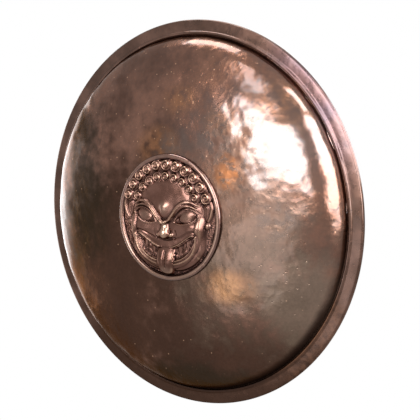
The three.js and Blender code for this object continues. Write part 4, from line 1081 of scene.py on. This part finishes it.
def wall_frame(angle, depth):
    """A place on the lining at an angle and a depth, with the directions round the shield, along the wall to
    the rim, and out of the wall into the bowl, as the rows of a 3 x 3 array."""
    radius, depths = bowl_stations(FLOOR_DEPTH)
    i = int(np.argmax(depths < depth))
    share = (depths[i - 1] - depth) / (depths[i - 1] - depths[i])
    out = radius[i - 1] + (radius[i] - radius[i - 1]) * share
    away = np.array([math.cos(angle), 0, math.sin(angle)])
    around = np.array([-math.sin(angle), 0, math.cos(angle)])
    along = away * (radius[i] - radius[i - 1]) + np.array([0, depths[i - 1] - depths[i], 0])
    along /= np.linalg.norm(along)
    place = away * out * FLAT_SIDE + np.array([0, RIM_FRONT_Y - depth, 0])
    return place, np.stack([around, along, np.cross(around, along)])


def lining_line(inset, reach=14):
    """The straight line between the stations in steps of a millimetre, each point replaced by the average of
    those up to `reach` steps away, which rounds the corners on the side of the bowl."""
    line = np.stack(bowl_stations(inset), -1) * (FLAT_SIDE, 1)
    line = np.concatenate([line[1:2] * (-1, 1), line, line[-1:] - (0, 20)])
    length = np.concatenate([[0], np.cumsum(np.linalg.norm(np.diff(line, axis=0), axis=1))])
    even = np.arange(0, length[-1], 1.0)
    window = np.ones(2 * reach + 1) / (2 * reach + 1)
    radius, depth = (np.convolve(np.interp(even, length, part), window, "valid") for part in line.T)
    keep = (radius > 0.3) & (depth > -6)
    return radius[keep], depth[keep]


inner_radius, inner_depth = lining_line(FLOOR_DEPTH)
foot = inner_radius[-1]
turn = np.linspace(np.pi, np.pi / 2, 10)
lip_radius = np.concatenate([foot + 2.4 + 2.4 * np.cos(turn), [foot + 5.5, foot + 6.2, foot + 6.5]])
lip_depth = np.concatenate([-7.4 - 2.4 * np.sin(turn), [-9.75, -9.5, -8.95]])
line = (np.concatenate([[0], inner_radius, lip_radius]),
        np.concatenate([[inner_depth[0]], inner_depth, lip_depth]))
share, angle, grid, loop = disc_grid(190)
radius, depth, outward, forward = along_line(*line, share)
flat = turned(radius, depth, angle)
uneven = 0.22 * waves(flat, 30, 80, 60, seed=41)
near_rings = np.clip((radius - 330) / 25, 0, 1)
uneven = uneven * (1 - 0.7 * near_rings) * np.clip((1 - share) / 0.05, 0, 1)
front = turned(radius - outward * uneven, depth - forward * uneven, angle)
outer_radius, outer_depth = lining_line(FLOOR_DEPTH - LINING)
back_share = np.linspace(0.98, 0.02, 48)
back_radius, back_depth, _, _ = along_line(np.append(outer_radius, [foot + 1.5, foot + 1.5]),
                                           np.append(outer_depth, [-6.5, -8.6]), back_share)
rear = turned(back_radius[:, None], back_depth[:, None], angle[loop])
points, faces = closed_disc(front, grid, loop, rear, (0, RIM_FRONT_Y - outer_depth[0], 0))
make_piece("lining", points, faces, lining_finish, "lining_leather", stands_for="leather_lining")

# %% [markdown]
# ## The arm band
# The band is a conical arch of bronze over the forearm, wider at the elbow, with two long wings that are
# nailed to the floor. It is one sheet, so it is one grid: one direction runs along the band from tip to
# tip, the other across it. The thickness is worked out from the distance to the sheet's own edge, which is
# rolled to a bead.

# %% Fitting bronze and tools for small parts
FITTING_DARK, FITTING_LIGHT, FITTING_STAIN = (0.17, 0.095, 0.052), (0.40, 0.235, 0.105), (0.09, 0.055, 0.035)
fitting_finish = Finish("fitting_bronze", Metallic=1.0, Coat_IOR=1.5, Coat_Roughness=0.2)
patch = fitting_finish.noise(0.030, 3.0, seed=1.9)
mottle = fitting_finish.noise(0.006, 3.0, seed=6.4)
colour = fitting_finish.paint(FITTING_DARK, (fitting_finish.step(patch, 0.35, 0.68), FITTING_LIGHT),
                              (fitting_finish.step(mottle, 0.62, 0.75) * 0.5, FITTING_STAIN))
fitting_finish.wear(Base_Color=colour, Roughness=0.24 + mottle * 0.24, Coat_Weight=0.15,
                    Normal=fitting_finish.bump(hammered(fitting_finish, 0.008, 0.14)))


def capped(rings, first_pole, last_pole):
    """A tube from rings of points, an array of rows x columns x 3, closed at each end by a fan to a pole."""
    rows, columns = rings.shape[:2]
    ring, total = np.arange(columns), rows * columns
    faces = [cells(rows, columns, round_columns=True), fan(ring, total)[:, ::-1],
             fan(total - columns + ring, total + 1)]
    return np.concatenate([rings.reshape(-1, 3), [first_pole, last_pole]]), faces


def directions(line):
    """The unit vector along an open line at each of its points."""
    along = np.gradient(line, axis=0)
    return along / np.linalg.norm(along, axis=1, keepdims=True)


def wire(path, radius, normal, closed=False, sides=14):
    """A round rod along a flat line: at each place of the line a circle of the radius, square to it.
    Three shrinking circles and a pole round off each end of an open rod."""
    path = np.asarray(path, float)
    radius = np.full(len(path), float(radius))
    if closed:
        along = np.roll(path, -1, 0) - np.roll(path, 1, 0)
        along /= np.linalg.norm(along, axis=1, keepdims=True)
    else:
        along = directions(path)
        dome = np.radians([75, 50, 25])
        first = path[0] - along[0] * radius[0] * np.sin(dome)[:, None]
        last = path[-1] + along[-1] * radius[-1] * np.sin(dome[::-1])[:, None]
        poles = [path[0] - along[0] * radius[0], path[-1] + along[-1] * radius[-1]]
        path = np.concatenate([first, path, last])
        along = np.concatenate([np.tile(along[0], (3, 1)), along, np.tile(along[-1], (3, 1))])
        radius = np.concatenate([radius[0] * np.cos(dome), radius, radius[-1] * np.cos(dome[::-1])])
    side = np.cross(normal, along)
    turn = np.linspace(0, 2 * np.pi, sides, endpoint=False)[None, :, None]
    circles = np.cos(turn) * side[:, None] + np.sin(turn) * np.array(normal)
    rings = path[:, None] + radius[:, None, None] * circles
    if closed:
        return rings.reshape(-1, 3), [cells(len(path), sides, True, True)]
    return capped(rings, *poles)


def spun(line, sides=48):
    """A line of (radius, height) from pole to pole, turned about the local Z axis."""
    line = np.asarray(line, float)
    turn = np.linspace(0, 2 * np.pi, sides, endpoint=False)
    radius, height = line[1:-1, :1], line[1:-1, 1:]
    rings = np.stack(np.broadcast_arrays(radius * np.cos(turn), radius * np.sin(turn), height), -1)
    return capped(rings, (0, 0, line[0, 1]), (0, 0, line[-1, 1]))


def placed(points, place, axes):
    """Points in a fitting's own directions, put where the fitting sits."""
    return np.asarray(points, float) @ np.asarray(axes) + np.asarray(place)


def joined(parts):
    """Several closed bodies as one array of points and one list of faces."""
    start, points, faces = 0, [], []
    for body, corners in parts:
        if volume_of(body, corners) < 0:
            corners = [face[:, ::-1] for face in corners]
        faces += [face + start for face in corners]
        points.append(body)
        start += len(body)
    return np.concatenate(points), faces


def fitting(name, shape, place, axes, node):
    """A small bronze part: a shape in its own directions, put where it sits, in place of a node."""
    points, faces = shape
    make_piece(name, placed(points, place, axes), faces, fitting_finish, "fitting_bronze", stands_for=node)


print("fitting bronze and tools ready")

# %% Arm band
FLOOR_Y = RIM_FRONT_Y - DOME_RISE + FLOOR_DEPTH
ARM_HALF, ARM_SPRING, BAND_HALF = 52.0, -10.0, 38.0
WING_START, WING_END, TIP_HALF = 58.0, 170.0, 23.0
TIP_START = WING_END - TIP_HALF
NARROWED = 86.0
BAND_LIFT, FOOT_BEND = 1.3, 8.0
TAPER_SHARE = 0.1


def floor_at(x, z):
    """The lining's own height, Y, at places near the middle of the bowl."""
    return RIM_FRONT_Y - np.interp(np.hypot(x, z), inner_radius, inner_depth)


def arch_line(half, foot_y, bend):
    """Half of the arch's middle line from foot to crown, as (z, y): a bend, a leg, a quarter circle."""
    turn = np.linspace(0, np.pi / 2, 26)
    if bend:
        corner = np.linspace(-np.pi / 2, -np.pi, 10)
        foot_z = half + bend + bend * np.cos(corner)
        line = np.stack([foot_z, foot_y + bend + bend * np.sin(corner)], -1)
    else:
        line = np.array([[half, foot_y], [half, foot_y + 4]])
    leg = np.stack([np.full(8, half), np.linspace(line[-1, 1], ARM_SPRING, 9)[1:]], -1)
    crown = np.stack([half * np.cos(turn[1:]), ARM_SPRING + half * np.sin(turn[1:])], -1)
    return np.concatenate([line, leg, crown])


def both_halves(line):
    """A half line from one foot to the crown, continued to the other foot."""
    return np.concatenate([line, (line * (-1, 1))[-2::-1]])


def outwards(middle_line, x):
    """The arch's unit normals, away from the arm, on the grid of its middle line by the places across it."""
    slope = directions(middle_line)
    return np.stack(np.broadcast_arrays(0 * x, -slope[:, :1], slope[:, 1:]), -1)


def sheet_body(middle, normal, edge, half_thick, bead):
    """A sheet with thickness from a grid of middle points: each side stands off by the half thickness,
    rounded down to 0 at the edge, and the outer side rises to a bead within two bead heights of the edge."""
    rounded = half_thick * np.sqrt(np.clip(1 - np.clip(1 - edge / half_thick, 0, 1) ** 2, 0, 1))
    roll = bead * np.sqrt(np.clip(1 - ((edge - bead) / bead) ** 2, 0, 1)) * (edge < 2 * bead)
    outer = middle + normal * np.maximum(rounded, roll)[..., None]
    inner = middle - normal * rounded[..., None]
    section = np.concatenate([outer, inner[:, -2:0:-1]], 1)
    return capped(section, section[0].mean(0), section[-1].mean(0))


def grown(y, z, x, share=1.0):
    """The band widens towards the elbow: heights above the floor and widths grow with x."""
    grow = 1 + share * TAPER_SHARE * x / (2 * BAND_HALF)
    return FLOOR_Y + (y - FLOOR_Y) * grow, z * grow


tip_turn = np.linspace(np.radians(87), 0, 16)
wing_z = np.concatenate([TIP_START + TIP_HALF * np.sin(tip_turn), np.linspace(146, 62, 44)])
wing = np.stack([wing_z, np.full(len(wing_z), FLOOR_Y + BAND_LIFT)], -1)
half_line = arch_line(ARM_HALF + 1, FLOOR_Y + BAND_LIFT, FOOT_BEND)
middle_line = both_halves(np.concatenate([wing, half_line]))
out_z = np.abs(middle_line[:, :1])
taken = np.clip((out_z - WING_START) / (NARROWED - WING_START), 0, 1)
half_width = BAND_HALF + (TIP_HALF - BAND_HALF) * (1 - (1 - taken) ** 2)
in_tip = out_z > TIP_START
round_tip = np.sqrt(np.clip(TIP_HALF ** 2 - (out_z - TIP_START) ** 2, 0, None))
half_width = np.where(in_tip, round_tip, half_width)
sides = -np.cos(np.linspace(0, np.pi, 41))
x = half_width * sides
on_arch = np.clip((68 - out_z) / 10, 0, 1)
y, z = grown(middle_line[:, 1:], middle_line[:, :1], x, on_arch)
y = np.where(out_z > 60.5, floor_at(x, z) + BAND_LIFT, y)
edge = np.where(in_tip, TIP_HALF - np.hypot(x, out_z - TIP_START), half_width - np.abs(x))
middle = np.stack([x, y, z], -1)
points, faces = sheet_body(middle, outwards(middle_line, x), np.clip(edge, 0, None), 1.0, 2.4)
make_piece("arm_band_sheet", points, faces, fitting_finish, "fitting_bronze", stands_for="arm_band")

# %% [markdown]
# A leather sleeve lines the arch, so that the bronze doesn't chafe the arm. It is the same kind of sheet,
# laid just inside the band, without the wings.

# %% Sleeve of the arm band
SLEEVE_HALF, SLEEVE_SIDE = 50.45, 43.0
middle_line = both_halves(arch_line(SLEEVE_HALF, FLOOR_Y + 4, 0))
x = SLEEVE_SIDE * sides + 0 * middle_line[:, :1]
y, z = grown(middle_line[:, 1:], middle_line[:, :1], x)
middle = np.stack([x, y, z], -1)
points, faces = sheet_body(middle, outwards(middle_line, x), SLEEVE_SIDE - np.abs(x), 1.25, 2.0)
make_piece("arm_band_sleeve_leather", points, faces, sleeve_finish, "sleeve_leather",
           stands_for="arm_band_sleeve")

# %% [markdown]
# ## Nails, plates, staples and rings
# Every fitting is driven through the lining into the wood: domed nails hold the wings, and each ring hangs
# in a staple on a turned plate. Turned parts are a line spun about an axis, and wires are circles along a
# path.

# %% Nails
NAIL_PLACES = [(22.8, 84.9), (15.2, 140.9)]
NAIL_LIFT = 2.3
dome = np.linspace(0, np.pi / 2, 9)
nail_line = np.concatenate([[(0, -1.2), (4.4, -1.2), (5.0, -0.6)],
                            np.stack([5.0 * np.cos(dome) ** 0.8, 0.2 + 2.9 * np.sin(dome)], -1)])
number = 0
for side in (1, -1):
    for x, z in NAIL_PLACES:
        for hand in (-1, 1):
            number += 1
            place = np.array([hand * x, 0.0, side * z])
            drop = floor_at(*(place[[0, 2]] * 1.01)) - floor_at(*(place[[0, 2]] * 0.99))
            tilt = drop / (0.02 * np.hypot(x, z))
            away = place / np.linalg.norm(place)
            out = np.array([0, 1, 0]) - away * float(tilt)
            out /= np.linalg.norm(out)
            level = np.cross([0, 0, 1], out)
            level /= np.linalg.norm(level)
            place[1] = float(floor_at(place[0], place[2])) + NAIL_LIFT
            fitting(f"nail_head_{number}", spun(nail_line, 28), place, [level, np.cross(out, level), out],
                    f"arm_band_nail_{number}")

# %% [markdown]
# A ring hangs in the bow of a staple whose legs go through a turned plate into the wood. The ring's place
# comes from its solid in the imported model, which already hangs as gravity leaves it, so that its joint
# turns it rightly.

# %% Ring fittings
RING_ANGLES, RING_DEPTH = (90, 150, 210, 270, 330, 30), 24.0
RING_RADIUS, RING_WIRE, EYE_HALF, EYE_RISE, EYE_WIRE = 13.0, 2.0, 5.0, 12.0, 1.5
STAPLE_LEG, RUNNING_GAP = 6.5, 0.3


def plate_line(radius, boss):
    """A turned base plate: an upright edge, a rounded shoulder, a fine groove, and a boss in the middle."""
    bend = np.linspace(0, np.pi / 2, 6)
    shoulder = np.stack([radius - 1.1 + 1.1 * np.cos(bend), 1.1 + 1.1 * np.sin(bend)], -1)
    hollow = np.stack([boss + 2.0 - 2.0 * np.sin(bend), 4.2 - 2.0 * np.cos(bend)], -1)
    return np.concatenate([[(0, -4), (radius - 0.3, -4)], shoulder,
                           [(radius - 2.6, 2.2), (radius - 3.0, 1.8), (radius - 3.5, 1.8),
                            (radius - 3.9, 2.2)],
                           hollow, [(boss - 0.6, 4.4), (0, 4.4)]])


def bow(half, rise, depth, axis):
    """A staple's line: a leg, a half circle with its top at the rise, and the other leg, on a local axis."""
    turn = np.linspace(np.pi, 0, 22)
    side = np.concatenate([[-half, -half], half * np.cos(turn), [half, half]])
    height = np.concatenate([[-depth, (rise - half - depth) / 2], rise - half + half * np.sin(turn),
                             [(rise - half - depth) / 2, -depth]])
    line = np.zeros((len(side), 3))
    line[:, axis], line[:, 2] = side, height
    return line


circle = np.linspace(0, 2 * np.pi, 56, endpoint=False)
for number, degrees in enumerate(RING_ANGLES, 1):
    place, axes = wall_frame(math.radians(degrees), RING_DEPTH)
    fitting(f"ring_base_{number}", spun(plate_line(13.0, 6.5)), place, axes, f"ring_plate_{number}")
    eye = wire(bow(EYE_HALF, EYE_RISE, STAPLE_LEG, 0), EYE_WIRE, (0, 1, 0))
    fitting(f"ring_eye_{number}", eye, place, axes, f"ring_staple_{number}")
    pivot = place + axes[2] * (EYE_RISE - EYE_WIRE - RING_WIRE - RUNNING_GAP)
    middle = np.mean(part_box(f"ring_{number}"), axis=0) / MM
    hang = (middle - pivot) / np.linalg.norm(middle - pivot)
    path = middle + RING_RADIUS * (np.cos(circle)[:, None] * axes[1] + np.sin(circle)[:, None] * hang)
    body, faces = wire(path, RING_WIRE, np.cross(axes[1], hang), closed=True, sides=18)
    print("ring", number, "pivot off by", np.round(np.linalg.norm(middle - pivot) - RING_RADIUS, 3), "mm")
    make_piece(f"cord_ring_{number}", body, faces, fitting_finish, "fitting_bronze", f"loose_ring_{number}",
               stands_for=f"ring_{number}")

# %% [markdown]
# ## The hand grip
# The hand at the rim holds a bronze bail, wound with a leather strap, whose pins turn in two staples. The
# bail is one rod bent at four corners, with a ball on each pin's end that keeps it in its staple.

# %% Hand grip
GRIP_DEPTH, EYE_SPACING = 26.0, 132.0
BOW_HALF, BOW_RISE, BOW_WIRE = 7.0, 17.0, 2.2
GRIP_REACH, GRIP_CORNER, ROD = 44.0, 6.0, 3.0
LEG_PLACE, PIN_END, PIN_MIDDLE, KNOB = 54.8, 74.9, 66.0, 5.2
middle, flat_axes = wall_frame(math.pi, GRIP_DEPTH)
sweep = math.asin(EYE_SPACING / 2 / np.linalg.norm(middle))
normal = flat_axes[2]
for word, side in (("upper", 1), ("lower", -1)):
    place, axes = wall_frame(math.pi - side * sweep, GRIP_DEPTH)
    fitting(f"grip_base_{word}", spun(plate_line(17.0, 8.5), 56), place, axes, f"grip_plate_{word}")
    eye_place = place * (1, 1, 0) + np.array([0, 0, side * EYE_SPACING / 2])
    fitting(f"grip_eye_{word}", wire(bow(BOW_HALF, BOW_RISE, STAPLE_LEG, 1), BOW_WIRE, (1, 0, 0), sides=18),
            eye_place, [(0, 0, 1), np.cross(normal, (0, 0, 1)), normal], f"grip_staple_{word}")
# both plates lie equally far from the middle, so either gives the pivot's place on the level of the forearm
pivot = place * (1, 1, 0) + normal * (BOW_RISE - BOW_WIRE - ROD - RUNNING_GAP)


def rounded_corner(before, corner, after, size):
    """A smooth bend at a corner: a quadratic curve between the points `size` before and after it."""
    before, corner, after = np.array(before, float), np.array(corner, float), np.array(after, float)
    start = corner + (before - corner) / np.linalg.norm(before - corner) * size
    stop = corner + (after - corner) / np.linalg.norm(after - corner) * size
    t = np.linspace(0, 1, 12)[:, None]
    return (1 - t) ** 2 * start + 2 * t * (1 - t) * corner + t ** 2 * stop


corners = [(0, PIN_END), (0, LEG_PLACE), (GRIP_REACH, LEG_PLACE), (GRIP_REACH, -LEG_PLACE), (0, -LEG_PLACE),
           (0, -PIN_END)]
bends = [rounded_corner(*corners[n:n + 3], GRIP_CORNER) for n in range(4)]
flat_path = np.concatenate([[corners[0], (0, PIN_MIDDLE)], *bends, [(0, -PIN_MIDDLE), corners[-1]]])
path = np.stack([flat_path[:, 0], 0 * flat_path[:, 0], flat_path[:, 1]], -1)
parts = [wire(path + pivot, ROD, (0, 1, 0), sides=18)]
ball = np.linspace(-np.pi / 2, np.pi / 2, 15)
for side in (-1, 1):
    body, faces = spun(np.stack([KNOB * np.cos(ball), KNOB * np.sin(ball)], -1), 28)
    parts.append((body + pivot + np.array([0, 0, side * PIN_END]), faces))
points, faces = joined(parts)
make_piece("grip_handle_rod", points, faces, fitting_finish, "fitting_bronze", "hand_grip",
           stands_for="grip_bail")
print("grip pivot", np.round(pivot, 2))

# %% [markdown]
# The strap is one surface of revolution with a step in it: along the grip its radius rises by a millimetre
# at each turn and slopes down again, and the step runs round as a screw thread does.

# %% Winding of the grip
STRAP_PITCH, WRAP_HALF, WRAP_END = 9.5, 42.0, 2.5
STRAP_STEP, GRIP_WAIST, GRIP_SWELL = 1.1, 10.6, 2.3
GROOVE_DARK = (0.014, 0.007, 0.004)
height = np.linspace(-WRAP_HALF, WRAP_HALF, 300)[:, None]
turn = np.linspace(0, 2 * np.pi, 72, endpoint=False)[None]
lap = (height / STRAP_PITCH - turn / (2 * np.pi)) % 1
swell = GRIP_WAIST + GRIP_SWELL * np.clip(1 - (height / WRAP_HALF) ** 2, 0, 1)
near_end = np.clip((np.abs(height) - WRAP_HALF + WRAP_END) / WRAP_END, 0, 1)
end_round = np.sqrt(np.clip(1 - near_end ** 2, 0.05, 1))
strap = STRAP_STEP * (1 - lap) * np.clip(lap / 0.10, 0, 1) - 0.3 * np.exp(-((lap - 0.02) / 0.04) ** 2)
radius = (swell + strap) * (0.72 + 0.28 * end_round)
rings = np.stack(np.broadcast_arrays(radius * np.cos(turn), radius * np.sin(turn), height), -1)
body, faces = capped(rings, (0, 0, -WRAP_HALF), (0, 0, WRAP_HALF))
low_place = np.append(np.clip(1 - np.abs(lap - 0.06) / 0.14, 0, 1).ravel(), [0, 0])
groove = grip_finish.attribute("groove")
grip_finish.wear(Base_Color=grip_finish.mix(groove * 0.75, grip_finish.colour, GROOVE_DARK),
                 Normal=grip_finish.bump(grip_finish.height))
make_piece("grip_strap", body + pivot + np.array([GRIP_REACH, 0, 0]), faces, grip_finish, "grip_leather",
           "hand_grip", stands_for="grip_wrap", groove=low_place)

# %% [markdown]
# ## The floor
# A plain pale floor lies below the shield. To the camera it fades into the white room with the distance
# from the shield, and to reflections it is the white room all over. For all other light it is an ordinary
# pale surface, and it takes the shadow.

# %% Floor
FLOOR_Z, FLOOR_HALF = -1.30, 20.0
PALE = (0.86, 0.86, 0.86)
FADE_START, FADE_END, NEAR_SHARE = 0.7, 1.7, 0.55
corners = [(x * FLOOR_HALF, y * FLOOR_HALF, FLOOR_Z) for x, y in ((-1, -1), (1, -1), (1, 1), (-1, 1))]
mesh = bpy.data.meshes.new("studio_floor")
mesh.from_pydata(corners, [], [(0, 1, 2, 3)])
floor = bpy.data.objects.new("studio_floor", mesh)
bpy.context.scene.collection.objects.link(floor)
floor_finish = Finish("pale_floor")
far = floor_finish.step(floor_finish.away((1, 1, 0)), FADE_START, FADE_END)
seen = floor_finish.ray("Camera").larger(floor_finish.ray("Transmission"))
seen = seen * (far * (1 - NEAR_SHARE) + NEAR_SHARE)
plain = floor_finish.node("BsdfDiffuse", inputs={"Color": PALE})
glow = floor_finish.node("Emission", inputs={"Color": WHITE})
share = seen.larger(floor_finish.ray("Glossy"))
floor_finish.plug(floor_finish.end, floor_finish.node("MixShader", inputs={0: share, 1: plain, 2: glow}))
mesh.materials.append(floor_finish.material)
print("floor at", FLOOR_Z)
